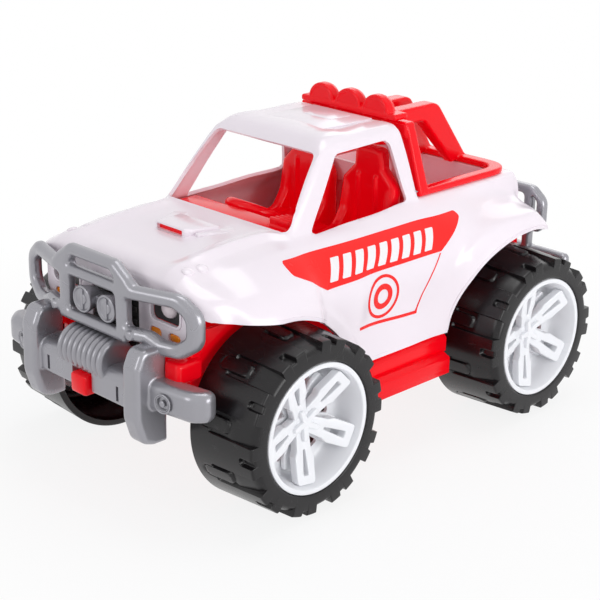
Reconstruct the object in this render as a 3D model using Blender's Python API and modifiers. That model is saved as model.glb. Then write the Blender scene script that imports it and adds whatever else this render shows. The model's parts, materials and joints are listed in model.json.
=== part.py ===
# A pickup-style toy car with a roll cage, a bull bar and four wide wheels on two steel axles.
# Metres, +Z up. The car faces -Y and its left side is +X. The origin lies on the floor, under
# the middle of the car's length. Places along the car are given from the middle of the
# wheelbase, which an empty sets at its distance from that origin.
import math

import bmesh
import bpy
from mathutils import Matrix, Vector

# Driving sizes
GAP = 0.0003
WALL = 0.0022
WHEELBASE = 0.2106
AXLE_RADIUS = 0.0025
AXLE_PLAY = 0.00006
TYRE_RADIUS = 0.0555
TYRE_TAPER = 0.0022
TYRE_WIDTH = 0.0490
TYRE_WALL = 0.0032
RIM_RADIUS = 0.0400
WHEEL_FACE = 0.1132
BUMPER_REACH = 0.0887
REAR_BUMPER_REACH = 0.0607
NOSE_REACH = 0.0590
TAIL_REACH = 0.0365
ROCKER_Z = 0.0698
ROCKER_HALF = 0.0870
DOOR_HALF = 0.0830
FENDER_HALF = 0.0935
FLARE_HALF = 0.0945
NOSE_HALF = 0.0780
NOSE_Z = 0.1360
HOOD_Z = 0.1510
RIDGE_HALF = 0.0450
SILL_Z = 0.1500
SILL_HALF = 0.0575
SHOULDER_HALF = 0.0655
DECK_Z = 0.1525
ROOF_Z = 0.1998
ROOF_HALF = 0.0466
CAB_SETBACK = 0.0293
SCREEN_TOP = -0.0405
ROOF_FRONT = -0.0345
ROOF_REAR = 0.0300
CAB_REAR = 0.0375
FRONT_ARCH_RADIUS = 0.0744
FRONT_ARCH_LEAD = 0.0127
FRONT_ARCH_TOP = 0.1180
REAR_ARCH_RADIUS = 0.0696
BED_HALF = 0.0490
BED_FRONT = 0.0490
BED_OVERHANG = 0.0187
BED_FLOOR = 0.1110
BED_STEP = 0.0010
CAGE_BAR = 0.0085
CAGE_HEIGHT = 0.0042
FIN_INNER = 0.0065
FIN_OUTER = 0.0180
LAMP_RADIUS = 0.0115
LAMP_PITCH = 0.0240
TUB_HALF = 0.0590
TUB_BOTTOM = 0.0440
SIDE_HALF = 0.0800
STEP_HEIGHT = 0.0115
STEP_GAP = 0.0703
GUARD_REACH = 0.0747
GUARD_DEPTH = 0.0085
GUARD_BAR = 0.0072
GUARD_HALF = 0.0300
LOOP_HALF = 0.0758
POST_HALF = 0.0474
POST_WIDTH = 0.0124
BEAM_REACH = 0.0817
DRUM_RADIUS = 0.0132
DRUM_HALF = 0.0205
DRUM_RIBS = 8
WING_HALF = 0.0925
FASCIA_REACH = 0.0562
LENS_X = 0.0460
LENS_Z = 0.1235
STEERING_SEAT = 0.0165

FRONT_AXLE = -WHEELBASE / 2
REAR_AXLE = WHEELBASE / 2
AXLE_Z = TYRE_RADIUS
NOSE_Y = FRONT_AXLE - NOSE_REACH
TAIL_Y = REAR_AXLE + TAIL_REACH
WHEEL_INNER = WHEEL_FACE - TYRE_WIDTH
FRONT_REACH = BUMPER_REACH - FRONT_AXLE
REAR_REACH = REAR_AXLE + REAR_BUMPER_REACH
FRAME_Y = (FRONT_REACH - REAR_REACH) / 2
CAB_FRONT = FRONT_AXLE + CAB_SETBACK
BED_REAR = REAR_AXLE + BED_OVERHANG
GUARD_Y = FRONT_AXLE - GUARD_REACH
BEAM_FRONT = FRONT_AXLE - BEAM_REACH
FASCIA_Y = FRONT_AXLE - FASCIA_REACH
STEP_HALF = WING_HALF

WHITE = ((0.86, 0.85, 0.87), 0.30, 0.0)
RED = ((0.80, 0.01, 0.02), 0.28, 0.0)
SILVER = ((0.33, 0.33, 0.35), 0.38, 0.2)
BLACK = ((0.03, 0.03, 0.03), 0.55, 0.0)
RUBBER = ((0.035, 0.034, 0.035), 0.60, 0.0)
STEEL = ((0.60, 0.60, 0.62), 0.30, 1.0)
CLEAR = ((0.75, 0.68, 0.70), 0.15, 0.0)
ORANGE = ((0.85, 0.12, 0.01), 0.30, 0.0)

for old in list(bpy.data.objects):
    bpy.data.objects.remove(old)


def collection(name):
    made = bpy.data.collections.new(name)
    bpy.context.scene.collection.children.link(made)
    return made


PARTS = collection("toy_car")
CUTTERS = collection("cutters")


def material(name, finish):
    colour, roughness, metallic = finish
    made = bpy.data.materials.new(name)
    made.use_nodes = True
    shader = made.node_tree.nodes["Principled BSDF"]
    shader.inputs["Base Color"].default_value = (*colour, 1.0)
    shader.inputs["Roughness"].default_value = roughness
    shader.inputs["Metallic"].default_value = metallic
    return made


def empty(name, place, parent=None):
    made = bpy.data.objects.new(name, None)
    made.location = place
    made.parent = parent
    PARTS.objects.link(made)
    return made


FRAME = empty("car_frame", (0, FRAME_Y, 0))


def wrap(name, mesh, finish=None, parent=FRAME, matrix=Matrix()):
    """An object in the parts' collection, or a hidden cutter when it has no finish."""
    made = bpy.data.objects.new(name, mesh)
    made.matrix_local = matrix
    made.parent = parent
    if finish is None:
        CUTTERS.objects.link(made)
        made.hide_render = True
        made.display_type = "WIRE"
        return made
    PARTS.objects.link(made)
    mesh.materials.append(material(name, finish))
    return made


def from_bmesh(name, bm, finish=None, parent=FRAME, matrix=Matrix()):
    mesh = bpy.data.meshes.new(name)
    bmesh.ops.recalc_face_normals(bm, faces=bm.faces)
    bm.to_mesh(mesh)
    bm.free()
    return wrap(name, mesh, finish, parent, matrix)


def box(name, low, high, finish=None, parent=FRAME):
    """A block between two corners, with its origin at its middle."""
    low = Vector(low)
    high = Vector(high)
    bm = bmesh.new()
    bmesh.ops.create_cube(bm, size=1.0, matrix=Matrix.Diagonal((*(high - low), 1.0)))
    return from_bmesh(name, bm, finish, parent, Matrix.Translation((low + high) / 2))


def cylinder(name, start, end, radius, sides, finish=None, parent=FRAME, end_radius=None):
    """A round bar between two points, or a cone when its end radius is given."""
    start = Vector(start)
    run = Vector(end) - start
    bm = bmesh.new()
    tip = radius if end_radius is None else end_radius
    bmesh.ops.create_cone(bm, cap_ends=True, segments=sides, radius1=radius, radius2=tip,
                          depth=run.length)
    turn = run.to_track_quat("Z", "Y").to_matrix().to_4x4()
    return from_bmesh(name, bm, finish, parent, Matrix.Translation(start + run / 2) @ turn)


def rounded(points, steps=3):
    """A closed outline of (a, b, radius) corners, each turned to a short curve."""
    result = []
    for index, (a, b, radius) in enumerate(points):
        here = Vector((a, b))
        back = Vector(points[index - 1][:2]) - here
        ahead = Vector(points[(index + 1) % len(points)][:2]) - here
        if radius <= 0:
            result.append(here)
            continue
        half = back.angle(ahead) / 2
        cut = min(radius / math.tan(half), 0.45 * back.length, 0.45 * ahead.length)
        first = here + back.normalized() * cut
        last = here + ahead.normalized() * cut
        for step in range(steps + 1):
            t = step / steps
            result.append(first * (1 - t) ** 2 + here * 2 * t * (1 - t) + last * t ** 2)
    return result


FRONT_VIEW = Matrix(((1, 0, 0, 0), (0, 0, -1, 0), (0, 1, 0, 0), (0, 0, 0, 1)))
SIDE_VIEW = Matrix(((0, 0, 1, 0), (1, 0, 0, 0), (0, 1, 0, 0), (0, 0, 0, 1)))
TOP_VIEW = Matrix()


def plate(name, loops, depth, view, middle, finish=None, parent=FRAME):
    """A flat outline with holes, filled and given a thickness, as a mesh.

    The outline's first coordinate runs along X in the front and top views and along Y in the
    side view, and its second along Z, or along Y in the top view. middle is where half the
    thickness lies on the third axis.
    """
    curve = bpy.data.curves.new(name, "CURVE")
    curve.dimensions = "2D"
    curve.fill_mode = "BOTH"
    curve.extrude = depth / 2
    for loop in loops:
        spline = curve.splines.new("POLY")
        spline.points.add(len(loop) - 1)
        for point, place in zip(spline.points, loop):
            point.co = (place[0], place[1], 0, 1)
        spline.use_cyclic_u = True
    guide = bpy.data.objects.new(name, curve)
    CUTTERS.objects.link(guide)
    bpy.context.view_layer.update()
    mesh = bpy.data.meshes.new_from_object(guide.evaluated_get(bpy.context.evaluated_depsgraph_get()))
    bpy.data.objects.remove(guide)
    bm = bmesh.new()
    bm.from_mesh(mesh)
    bmesh.ops.remove_doubles(bm, verts=bm.verts, dist=0.00001)
    bmesh.ops.dissolve_limit(bm, angle_limit=0.01, verts=bm.verts, edges=bm.edges)
    across = {"XZ": Vector((0, middle, 0)), "YZ": Vector((middle, 0, 0)), "XY": Vector((0, 0, middle))}
    plane = "XZ" if view is FRONT_VIEW else "YZ" if view is SIDE_VIEW else "XY"
    bm.transform(Matrix.Translation(across[plane]) @ view)
    return from_bmesh(name, bm, finish, parent)


def tube(name, points, radius, finish=None, parent=FRAME, sides=2):
    """A round bar along a run of points, with closed ends, as a mesh."""
    curve = bpy.data.curves.new(name, "CURVE")
    curve.dimensions = "3D"
    curve.bevel_depth = radius
    curve.bevel_resolution = sides
    curve.use_fill_caps = True
    spline = curve.splines.new("POLY")
    spline.points.add(len(points) - 1)
    for point, place in zip(spline.points, points):
        point.co = (*place, 1)
    guide = bpy.data.objects.new(name, curve)
    CUTTERS.objects.link(guide)
    bpy.context.view_layer.update()
    mesh = bpy.data.meshes.new_from_object(guide.evaluated_get(bpy.context.evaluated_depsgraph_get()))
    bpy.data.objects.remove(guide)
    bm = bmesh.new()
    bm.from_mesh(mesh)
    bmesh.ops.remove_doubles(bm, verts=bm.verts, dist=0.00001)
    return from_bmesh(name, bm, finish, parent)


def turned(name, profile, steps, closed=True, finish=None, parent=FRAME, matrix=Matrix()):
    """A profile of (radius, x) points turned about the X axis.

    A profile that isn't closed starts and ends on the axis.
    """
    mesh = bpy.data.meshes.new(name)
    count = len(profile)
    edges = [(i, (i + 1) % count) for i in range(count if closed else count - 1)]
    mesh.from_pydata([(x, radius, 0) for radius, x in profile], edges, [])
    made = wrap(name, mesh, finish, parent, matrix)
    screw = made.modifiers.new("turn", "SCREW")
    screw.axis = "X"
    screw.angle = 2 * math.pi
    screw.steps = steps
    screw.render_steps = steps
    screw.use_merge_vertices = True
    screw.merge_threshold = 0.00001
    screw.use_smooth_shade = True
    baked(made)
    bm = bmesh.new()
    bm.from_mesh(made.data)
    bmesh.ops.recalc_face_normals(bm, faces=bm.faces)
    bm.to_mesh(made.data)
    bm.free()
    return made


def combine(target, tool, operation="DIFFERENCE", solver="EXACT"):
    """A live Boolean, whose tool becomes a hidden cutter."""
    step = target.modifiers.new(tool.name, "BOOLEAN")
    step.operation = operation
    step.solver = solver
    step.object = tool
    return target


def soften(target, width, segments=1, angle=0.6):
    """Rounded edges."""
    step = target.modifiers.new("soft_edges", "BEVEL")
    step.width = width
    step.segments = segments
    step.limit_method = "ANGLE"
    step.angle_limit = angle
    step.harden_normals = False
    return target


def baked(target):
    """The object with its modifiers worked into its mesh."""
    bpy.context.view_layer.update()
    mesh = bpy.data.meshes.new_from_object(
        target.evaluated_get(bpy.context.evaluated_depsgraph_get()))
    target.modifiers.clear()
    target.data = mesh
    return target


def mirrored(x):
    """Both sides of the car."""
    return (("left", x), ("right", -x))


# The body shell

def body_rows():
    """Half outlines of the outer skin, each from its lower edge up and in to the centre line."""
    nose = NOSE_Y
    low = ROCKER_Z
    sill = SILL_Z
    rows = []

    def row(y, points):
        rows.append([(x, y + (extra[0] if extra else 0), z) for x, z, *extra in points])

    half = NOSE_HALF
    row(nose, [(half, low, 0.012), (half, NOSE_Z - 0.013, 0.010), (half - 0.003, NOSE_Z - 0.011, 0.006),
               (half - 0.007, NOSE_Z - 0.0075, 0.003), (half - 0.013, NOSE_Z - 0.0038, 0.0015),
               (half - 0.022, NOSE_Z - 0.0015, 0.0007), (RIDGE_HALF, NOSE_Z, 0.0005),
               (0.034, NOSE_Z), (0.018, NOSE_Z), (0, NOSE_Z)])
    row(nose, [(half + 0.0015, low, 0.015), (half + 0.0015, NOSE_Z - 0.010, 0.012),
               (half - 0.002, NOSE_Z - 0.0045, 0.0085), (half - 0.0075, NOSE_Z - 0.001, 0.005),
               (half - 0.0145, NOSE_Z + 0.0018, 0.0028), (half - 0.022, NOSE_Z + 0.0040, 0.0012),
               (RIDGE_HALF, NOSE_Z + 0.0052, 0.0003), (0.034, NOSE_Z + 0.0052),
               (0.018, NOSE_Z + 0.0052), (0, NOSE_Z + 0.0052)])
    row(nose, [(half + 0.005, low, 0.022), (half + 0.0045, NOSE_Z - 0.011, 0.019),
               (half, NOSE_Z - 0.0025, 0.0148), (half - 0.0075, NOSE_Z + 0.0015, 0.011),
               (half - 0.0150, NOSE_Z + 0.0045, 0.008), (half - 0.022, NOSE_Z + 0.0072, 0.0055),
               (RIDGE_HALF, NOSE_Z + 0.0090, 0.0045), (0.035, NOSE_Z + 0.0085, 0.004),
               (0.018, NOSE_Z + 0.0085, 0.004), (0, NOSE_Z + 0.0085, 0.004)])
    wide = FENDER_HALF
    shoulder = SHOULDER_HALF
    hood = HOOD_Z
    row(FRONT_AXLE - 0.036, [(wide - 0.006, low, 0.008), (wide - 0.005, 0.1230, 0.006),
                             (0.0815, 0.1325, 0.004), (0.0720, 0.1380, 0.003), (0.0630, 0.1415, 0.001),
                             (0.0545, 0.1462), (RIDGE_HALF, 0.1492), (0.0360, 0.1475),
                             (0.0180, 0.1472), (0, 0.1472)])
    row(FRONT_AXLE - 0.016, [(wide, low), (wide - 0.0003, 0.1220), (0.0855, 0.1325),
                             (0.0740, 0.1400), (0.0630, 0.1452), (0.0542, 0.1483),
                             (RIDGE_HALF, 0.1518), (0.0360, 0.1500), (0.0180, 0.1495), (0, 0.1494)])
    row(FRONT_AXLE + 0.003, [(wide, low), (wide, 0.1210), (0.0865, 0.1320), (0.0750, 0.1405),
                             (0.0632, 0.1462), (0.0542, 0.1492), (RIDGE_HALF, 0.1528),
                             (0.0365, 0.1512), (0.0180, hood - 0.0004), (0, hood - 0.0004)])
    row(FRONT_AXLE + 0.021, [(wide - 0.001, low), (wide - 0.001, 0.1140), (0.0865, 0.1290),
                             (0.0760, 0.1400), (0.0640, 0.1468), (0.0550, 0.1495),
                             (RIDGE_HALF + 0.0025, 0.1530), (0.0380, 0.1518), (0.0180, hood + 0.0004),
                             (0, hood + 0.0004)])
    row(CAB_FRONT, [(wide - 0.005, low), (wide - 0.006, 0.1020), (0.0850, 0.1240), (0.0765, 0.1380),
                    (shoulder, 0.1458), (SILL_HALF, 0.1492), (0.0535, 0.1516), (0.0420, 0.1520),
                    (0.0200, hood + 0.0012), (0, hood + 0.0012)])
    top = ROOF_Z
    roof = ROOF_HALF

    def cab_row(y, door, z6, z7, z9, inset=0.0, foot=0.0):
        row(y, [(ROCKER_HALF, low), (door, 0.0900), (door + 0.0005, 0.1180), (0.0785, 0.1350),
                (shoulder + 0.0008, 0.1462), (SILL_HALF, sill + foot), (roof, z6), (roof - inset, z7),
                (roof / 2, z9 - 0.0004), (0, z9)])

    cab_row(SCREEN_TOP, DOOR_HALF + 0.0012, top - 0.0058, top - 0.0052, top - 0.0050, 0.0035)
    cab_row(ROOF_FRONT, DOOR_HALF, top - 0.0040, top - 0.0008, top - 0.0002, 0.0050)
    cab_row(-0.002, DOOR_HALF, top - 0.0040, top - 0.0006, top, 0.0050, 0.002)
    cab_row(ROOF_REAR, DOOR_HALF + 0.0010, top - 0.0040, top - 0.0008, top - 0.0004, 0.0050, 0.0015)
    deck = DECK_Z
    flare = FLARE_HALF

    def bed_row(y, width, points, far=0.0):
        row(y, points + [(SILL_HALF + 0.0022, deck - 0.0016, far), (SILL_HALF, deck, far),
                         (0.050, deck, far),
                         (0.025, deck, far), (0, deck, far)])

    bed_row(CAB_REAR, flare, [(ROCKER_HALF + 0.001, low), (0.0860, 0.0980), (0.0850, 0.1200),
                              (0.0775, 0.1370), (shoulder + 0.001, 0.1468)])
    bed_row(REAR_AXLE - 0.047, flare, [(flare - 0.003, low), (flare - 0.003, 0.1090),
                                       (0.0870, 0.1270), (0.0770, 0.1380), (shoulder, 0.1470)])
    bed_row(REAR_AXLE - 0.024, flare, [(flare, low), (flare, 0.1228), (0.0895, 0.1325),
                                       (0.0755, 0.1385), (0.0635, 0.1465)])
    bed_row(REAR_AXLE + 0.002, flare, [(flare, low), (flare, 0.1272), (0.0900, 0.1335),
                                       (0.0735, 0.1375), (0.0612, 0.1440)])
    bed_row(REAR_AXLE + 0.019, flare, [(flare - 0.003, low), (flare - 0.003, 0.1258),
                                       (0.0862, 0.1322), (0.0710, 0.1352), (0.0600, 0.1405)])
    tail = TAIL_Y
    row(tail, [(0.0888, low, -0.010), (0.0888, 0.1248, -0.010), (0.0815, 0.1302, -0.0105),
               (0.0695, 0.1330, -0.0075), (0.0595, 0.1370, -0.0045), (0.0590, 0.1480, -0.0045),
               (0.0565, 0.1515, -0.0045), (0.0500, 0.1518, -0.0040), (0.0250, 0.1518, -0.0040),
               (0, 0.1518, -0.0040)])
    row(tail, [(0.0870, low, -0.0080), (0.0868, 0.1236, -0.0080), (0.0790, 0.1285, -0.0080),
               (0.0690, 0.1308, -0.0050), (0.0590, 0.1330, -0.0015), (0.0588, 0.1440, -0.0015),
               (0.0560, 0.1475, -0.0010), (0.0500, 0.1480, -0.0005), (0.0250, 0.1480, -0.0005),
               (0, 0.1480, -0.0005)])
    row(tail, [(0.0850, low, -0.0085), (0.0845, 0.1190, -0.0078), (0.0765, 0.1180, -0.0065),
               (0.0680, 0.1165, -0.0035), (0.0600, 0.1150), (0.0580, 0.1140), (0.0540, 0.1130),
               (0.0480, 0.1130), (0.0250, 0.1130), (0, 0.1130)])
    return rows


def arch_outline():
    """The front wheel arch and all that is open ahead of it, seen from the side."""
    centre_y = FRONT_AXLE - FRONT_ARCH_LEAD
    centre_z = FRONT_ARCH_TOP - FRONT_ARCH_RADIUS
    points = [(NOSE_Y - 0.030, NOSE_Z - 0.0135), (NOSE_Y + 0.010, NOSE_Z - 0.0125),
              (NOSE_Y + 0.024, FRONT_ARCH_TOP + 0.0028)]
    for step in range(12):
        turn = math.radians(90 - step * 8.5)
        points.append((centre_y + FRONT_ARCH_RADIUS * math.cos(turn),
                       centre_z + FRONT_ARCH_RADIUS * math.sin(turn)))
    points.append((points[-1][0], 0.030))
    points.append((NOSE_Y - 0.030, 0.030))
    return points


def rear_arch_outline():
    """The rear wheel arch and the open corner behind it."""
    points = []
    for step in range(19):
        turn = math.radians(190 - step * 8.0)
        points.append((REAR_AXLE + REAR_ARCH_RADIUS * math.cos(turn),
                       AXLE_Z + REAR_ARCH_RADIUS * math.sin(turn)))
    corner = TAIL_Y + 0.010
    points = [point for point in points if point[0] < TAIL_Y - 0.012]
    points.append((TAIL_Y - 0.012, 0.1200))
    points.append((corner, 0.1192))
    points.append((corner, 0.030))
    points.append((points[0][0], 0.030))
    return points


def body_shell():
    rows = body_rows()
    bm = bmesh.new()
    grid = [[bm.verts.new(place) for place in line] for line in rows]
    for first, second in zip(grid, grid[1:]):
        for a, b, c, d in zip(first, second, second[1:], first[1:]):
            bm.faces.new((a, b, c, d))
    mesh = bpy.data.meshes.new("body_shell")
    bm.to_mesh(mesh)
    bm.free()
    shell = wrap("body_shell", mesh, WHITE)
    flip = shell.modifiers.new("both_sides", "MIRROR")
    flip.use_clip = True
    flip.merge_threshold = 0.0001
    skin = shell.modifiers.new("wall", "SOLIDIFY")
    skin.thickness = WALL
    skin.offset = -1.0
    skin.use_even_offset = True
    for side, x in mirrored(0.090):
        low, high = sorted((x - math.copysign(0.029, x), x + math.copysign(0.030, x)))
        middle = (low + high) / 2
        combine(shell, plate("front_arch_" + side, [arch_outline()], high - low, SIDE_VIEW, middle))
        combine(shell, plate("rear_arch_" + side, [rear_arch_outline()], high - low, SIDE_VIEW, middle))
    combine(shell, screen_cutter())
    combine(shell, window_cutter())
    combine(shell, rear_window_cutter())
    combine(shell, bed_walls(), "UNION")
    combine(shell, box("bed_hole", (-BED_HALF, BED_FRONT, 0.060), (BED_HALF, BED_REAR, 0.170)))
    combine(shell, scoop(), "UNION")
    combine(shell, box("scoop_slot", (-0.0114, CAB_FRONT - 0.0500, HOOD_Z - 0.0070),
                       (0.0114, CAB_FRONT - 0.0360, HOOD_Z + 0.0002)))
    return shell


def screen_cutter():
    outline = rounded([(-0.0525, SILL_Z + 0.0022, 0.003), (0.0525, SILL_Z + 0.0022, 0.003),
                       (0.0418, ROOF_Z - 0.0068, 0.006), (-0.0418, ROOF_Z - 0.0068, 0.006)])
    return plate("screen_hole", [outline], 0.085, FRONT_VIEW, CAB_FRONT + 0.0125)


def window_cutter():
    """Both side windows in one pass."""
    outline = rounded([(CAB_FRONT + 0.0205, SILL_Z - 0.0004, 0.002), (0.0245, SILL_Z + 0.0045, 0.002),
                       (0.0172, ROOF_Z - 0.0075, 0.006), (SCREEN_TOP + 0.0135, ROOF_Z - 0.0088, 0.006)])
    return plate("side_windows", [outline], 0.240, SIDE_VIEW, 0.0)


def rear_window_cutter():
    outline = rounded([(-0.040, 0.1660, 0.004), (0.040, 0.1660, 0.004), (0.034, 0.1880, 0.005),
                       (-0.034, 0.1880, 0.005)])
    return plate("rear_window", [outline], 0.030, FRONT_VIEW, CAB_REAR)


def bed_walls():
    """The cargo bed's side walls, hanging from the deck to the floor."""
    outer = [(-BED_HALF - WALL, BED_FRONT - WALL), (BED_HALF + WALL, BED_FRONT - WALL),
             (BED_HALF + WALL, BED_REAR + WALL), (-BED_HALF - WALL, BED_REAR + WALL)]
    top = DECK_Z - 0.0010
    bottom = BED_FLOOR + BED_STEP + GAP - 0.0010
    return plate("bed_walls", [outer], top - bottom, TOP_VIEW, (top + bottom) / 2)


def scoop():
    """The raised air scoop of the hood."""
    front = CAB_FRONT - 0.0430
    rear = CAB_FRONT - 0.0200
    bm = bmesh.new()
    foot = HOOD_Z - 0.0020
    lip = HOOD_Z + 0.0022
    shape = [(-0.0130, front, foot), (0.0130, front, foot), (0.0190, rear, foot), (-0.0190, rear, foot),
             (-0.0125, front + 0.001, lip), (0.0125, front + 0.001, lip),
             (0.0180, rear - 0.0015, lip - 0.0011), (-0.0180, rear - 0.0015, lip - 0.0011)]
    verts = [bm.verts.new(place) for place in shape]
    bmesh.ops.convex_hull(bm, input=verts)
    return from_bmesh("scoop", bm)


# The roll cage and its lamps

def roll_cage():
    outer_half = SILL_HALF + 0.0010
    inner = outer_half - CAGE_BAR
    front = CAB_REAR + 0.0012
    rear = BED_REAR + 0.0105
    base = DECK_Z + GAP
    top = base + CAGE_HEIGHT
    ring = [rounded([(-outer_half, front, 0.001), (outer_half, front, 0.001), (outer_half, rear, 0.020),
                     (-outer_half, rear, 0.020)], 4),
            rounded([(-inner, front + 0.0095, 0.002), (inner, front + 0.0095, 0.002),
                     (inner, rear - 0.0095, 0.012), (-inner, rear - 0.0095, 0.012)])]
    cage = plate("roll_cage", ring, CAGE_HEIGHT, TOP_VIEW, (base + top) / 2, RED)
    for side, x in mirrored(1.0):
        combine(cage, cage_pillar(side, x, front, base), "UNION")
        combine(cage, cage_fin(side, x, front, rear, base), "UNION")
    bar_top = ROOF_Z - 0.0005
    combine(cage, box("cage_cross", (-ROOF_HALF - 0.0005, ROOF_REAR + 0.0058, bar_top - 0.0100),
                      (ROOF_HALF + 0.0005, ROOF_REAR + 0.0155, bar_top)), "UNION")
    return cage


def cage_pillar(side, sign, front, base):
    """One leaning post of the cage, behind the cab's corner."""
    top = ROOF_Z - 0.0012
    foot_half = SILL_HALF + 0.0006
    head_half = ROOF_HALF + 0.0002
    head = ROOF_REAR + 0.0062
    bm = bmesh.new()
    shape = [(foot_half, front + 0.0002, base + 0.001), (foot_half - 0.0080, front + 0.0002, base + 0.001),
             (foot_half - 0.0080, front + 0.0090, base + 0.001), (foot_half, front + 0.0090, base + 0.001),
             (head_half, head, top), (head_half - 0.0080, head, top),
             (head_half - 0.0080, head + 0.0085, top), (head_half, head + 0.0085, top)]
    for x, y, z in shape:
        bm.verts.new((x * sign, y, z))
    bmesh.ops.convex_hull(bm, input=bm.verts)
    return from_bmesh("cage_pillar_" + side, bm)


def cage_fin(side, sign, front, rear, base):
    """A sloping rib from the cross bar down to the rear of the ring."""
    top = ROOF_Z - 0.0016
    head = ROOF_REAR + 0.0085
    outline = rounded([(head, top, 0.0), (rear - 0.0330, top, 0.009), (rear - 0.0002, base + 0.0030, 0.0),
                       (rear - 0.0100, base + 0.0005, 0.0), (rear - 0.0405, top - 0.0085, 0.005),
                       (head, top - 0.0085, 0.0)], 4)
    width = FIN_OUTER - FIN_INNER
    middle = sign * (FIN_OUTER + FIN_INNER) / 2
    fin = plate("cage_fin_" + side, [outline], width, SIDE_VIEW, middle)
    bm = bmesh.new()
    for y, reach in ((rear - 0.0330, FIN_INNER - 0.0002), (rear + 0.0040, FIN_INNER + 0.0070)):
        for x in (0.0, sign * reach):
            bm.verts.new((x, y, base - 0.010))
            bm.verts.new((x, y, top + 0.010))
    bmesh.ops.convex_hull(bm, input=bm.verts)
    combine(fin, from_bmesh("fin_taper_" + side, bm))
    return baked(fin)


def light_bar():
    """Three round lamps on a bar across the back of the roof."""
    front = ROOF_REAR + 0.0008
    base = ROOF_Z + GAP
    half = ROOF_HALF - 0.0046
    bar = box("light_bar", (-half, front, base), (half, front + 0.0125, base + 0.0042), RED)
    for index in (-1, 0, 1):
        combine(bar, lamp_shell(index, front, base), "UNION")
    return bar


def lamp_shell(index, front, base):
    """One lamp housing: a disc with a domed back, cut flat inside the bar."""
    radius = LAMP_RADIUS
    profile = [(0.0, 0.0), (radius - 0.0018, 0.0), (radius, 0.0016), (radius, 0.0055),
               (radius - 0.0035, 0.0100), (0.0, 0.0124)]
    middle = Vector((index * LAMP_PITCH, front, base + 0.0030))
    turn = Matrix.Rotation(math.pi / 2, 4, "Z")
    name = "lamp_" + str(index + 2)
    lamp = turned(name, profile, 16, closed=False, matrix=Matrix.Translation(middle) @ turn)
    low = box(name + "_foot", (middle.x - 0.015, front - 0.010, base - 0.020),
              (middle.x + 0.015, front + 0.020, base + 0.0010))
    return baked(combine(lamp, low))


# The chassis

def chassis():
    """The red floor tub with its side steps, axle saddles, bed floor and bumper tongue."""
    nose = FASCIA_Y + 0.0060
    tail = TAIL_Y + 0.0020
    half = TUB_HALF
    low = TUB_BOTTOM
    wall = 0.0024
    floor = box("chassis", (-half, nose, low), (half, tail, BED_FLOOR), RED)
    edge = BED_HALF - GAP
    combine(floor, box("bed_floor", (-edge, BED_FRONT + GAP, BED_FLOOR - 0.0010),
                       (edge, BED_REAR - GAP, BED_FLOOR + BED_STEP)), "UNION")
    combine(floor, box("tub_front", (-half + wall, nose + wall, low + wall),
                       (half - wall, BED_FRONT - 0.0060, BED_FLOOR + 0.010)))
    combine(floor, box("tub_rear", (-half + wall, BED_FRONT - 0.0060 + wall, low - 0.010),
                       (half - wall, tail - wall, BED_FLOOR - wall)))
    rise = [(nose - 0.010, low - 0.010), (FRONT_AXLE - 0.0250, low - 0.010),
            (FRONT_AXLE - 0.0250, low + 0.0005), (nose + 0.0080, low + 0.0320), (nose - 0.010, low + 0.0320)]
    combine(floor, plate("nose_rise", [rise], 2 * STEP_HALF + 0.015, SIDE_VIEW, 0.0))
    for side, x in mirrored(1.0):
        combine(floor, side_step(side, x), "UNION")
    combine(floor, box("tongue_root", (-0.0260, BEAM_FRONT + 0.0290, 0.0660),
                       (0.0260, nose + 0.0010, 0.0900)), "UNION")
    tongue = box("tongue", (-0.0072, BEAM_FRONT - 0.0035, 0.0665), (0.0072, nose, 0.0790))
    combine(floor, soften(tongue, 0.0020, 2), "UNION")
    for name, y in (("front", FRONT_AXLE), ("rear", REAR_AXLE)):
        combine(floor, saddle(name, y), "UNION")
        bore = (AXLE_RADIUS + AXLE_PLAY) / math.cos(math.pi / 24)
        combine(floor, cylinder("axle_bore_" + name, (-0.080, y, AXLE_Z), (0.080, y, AXLE_Z), bore, 24))
        combine(floor, box("axle_slot_" + name, (-0.080, y - AXLE_RADIUS - GAP, low - 0.010),
                           (0.080, y + AXLE_RADIUS + GAP, AXLE_Z)))
    return floor


def side_step(side, sign):
    """One side wall below the door with its running board."""
    reach = REAR_AXLE - STEP_GAP
    deep = TUB_HALF - 0.001
    outline = [(deep, TUB_BOTTOM), (STEP_HALF, TUB_BOTTOM),
               (STEP_HALF, TUB_BOTTOM + STEP_HEIGHT - 0.001), (STEP_HALF - 0.001, TUB_BOTTOM + STEP_HEIGHT),
               (SIDE_HALF, TUB_BOTTOM + STEP_HEIGHT), (SIDE_HALF, ROCKER_Z + 0.0040),
               (SIDE_HALF - 0.0030, ROCKER_Z + 0.0040), (SIDE_HALF - 0.0030, TUB_BOTTOM + 0.0030),
               (deep, TUB_BOTTOM + 0.0030)]
    outline = [(sign * x, z) for x, z in outline]
    return plate("step_" + side, [outline], 2 * reach, FRONT_VIEW, 0.0)


def saddle(name, y):
    """A block across the tub that carries one axle."""
    return box("saddle_" + name, (-TUB_HALF + 0.001, y - 0.0070, TUB_BOTTOM),
               (TUB_HALF - 0.001, y + 0.0070, AXLE_Z + 0.0070))


def keeper(name, y):
    """The strip below an axle that keeps it in its saddle."""
    strip = box(name + "_axle_keeper", (-0.040, y - 0.0120, TUB_BOTTOM - 0.0024 - GAP),
                (0.040, y + 0.0120, TUB_BOTTOM - GAP), RED)
    rib = box(name + "_keeper_rib", (-0.036, y - AXLE_RADIUS, TUB_BOTTOM - 0.0010),
              (0.036, y + AXLE_RADIUS, AXLE_Z - AXLE_RADIUS - GAP))
    soften(strip, 0.0006)
    return combine(strip, rib, "UNION")


def screw(name, x, y, bottom):
    """A pan-head screw, driven up from below."""
    return cylinder(name, (x, y, bottom - 0.0018), (x, y, bottom), 0.0026, 12, STEEL, end_radius=0.0031)


# The cabin

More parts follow.
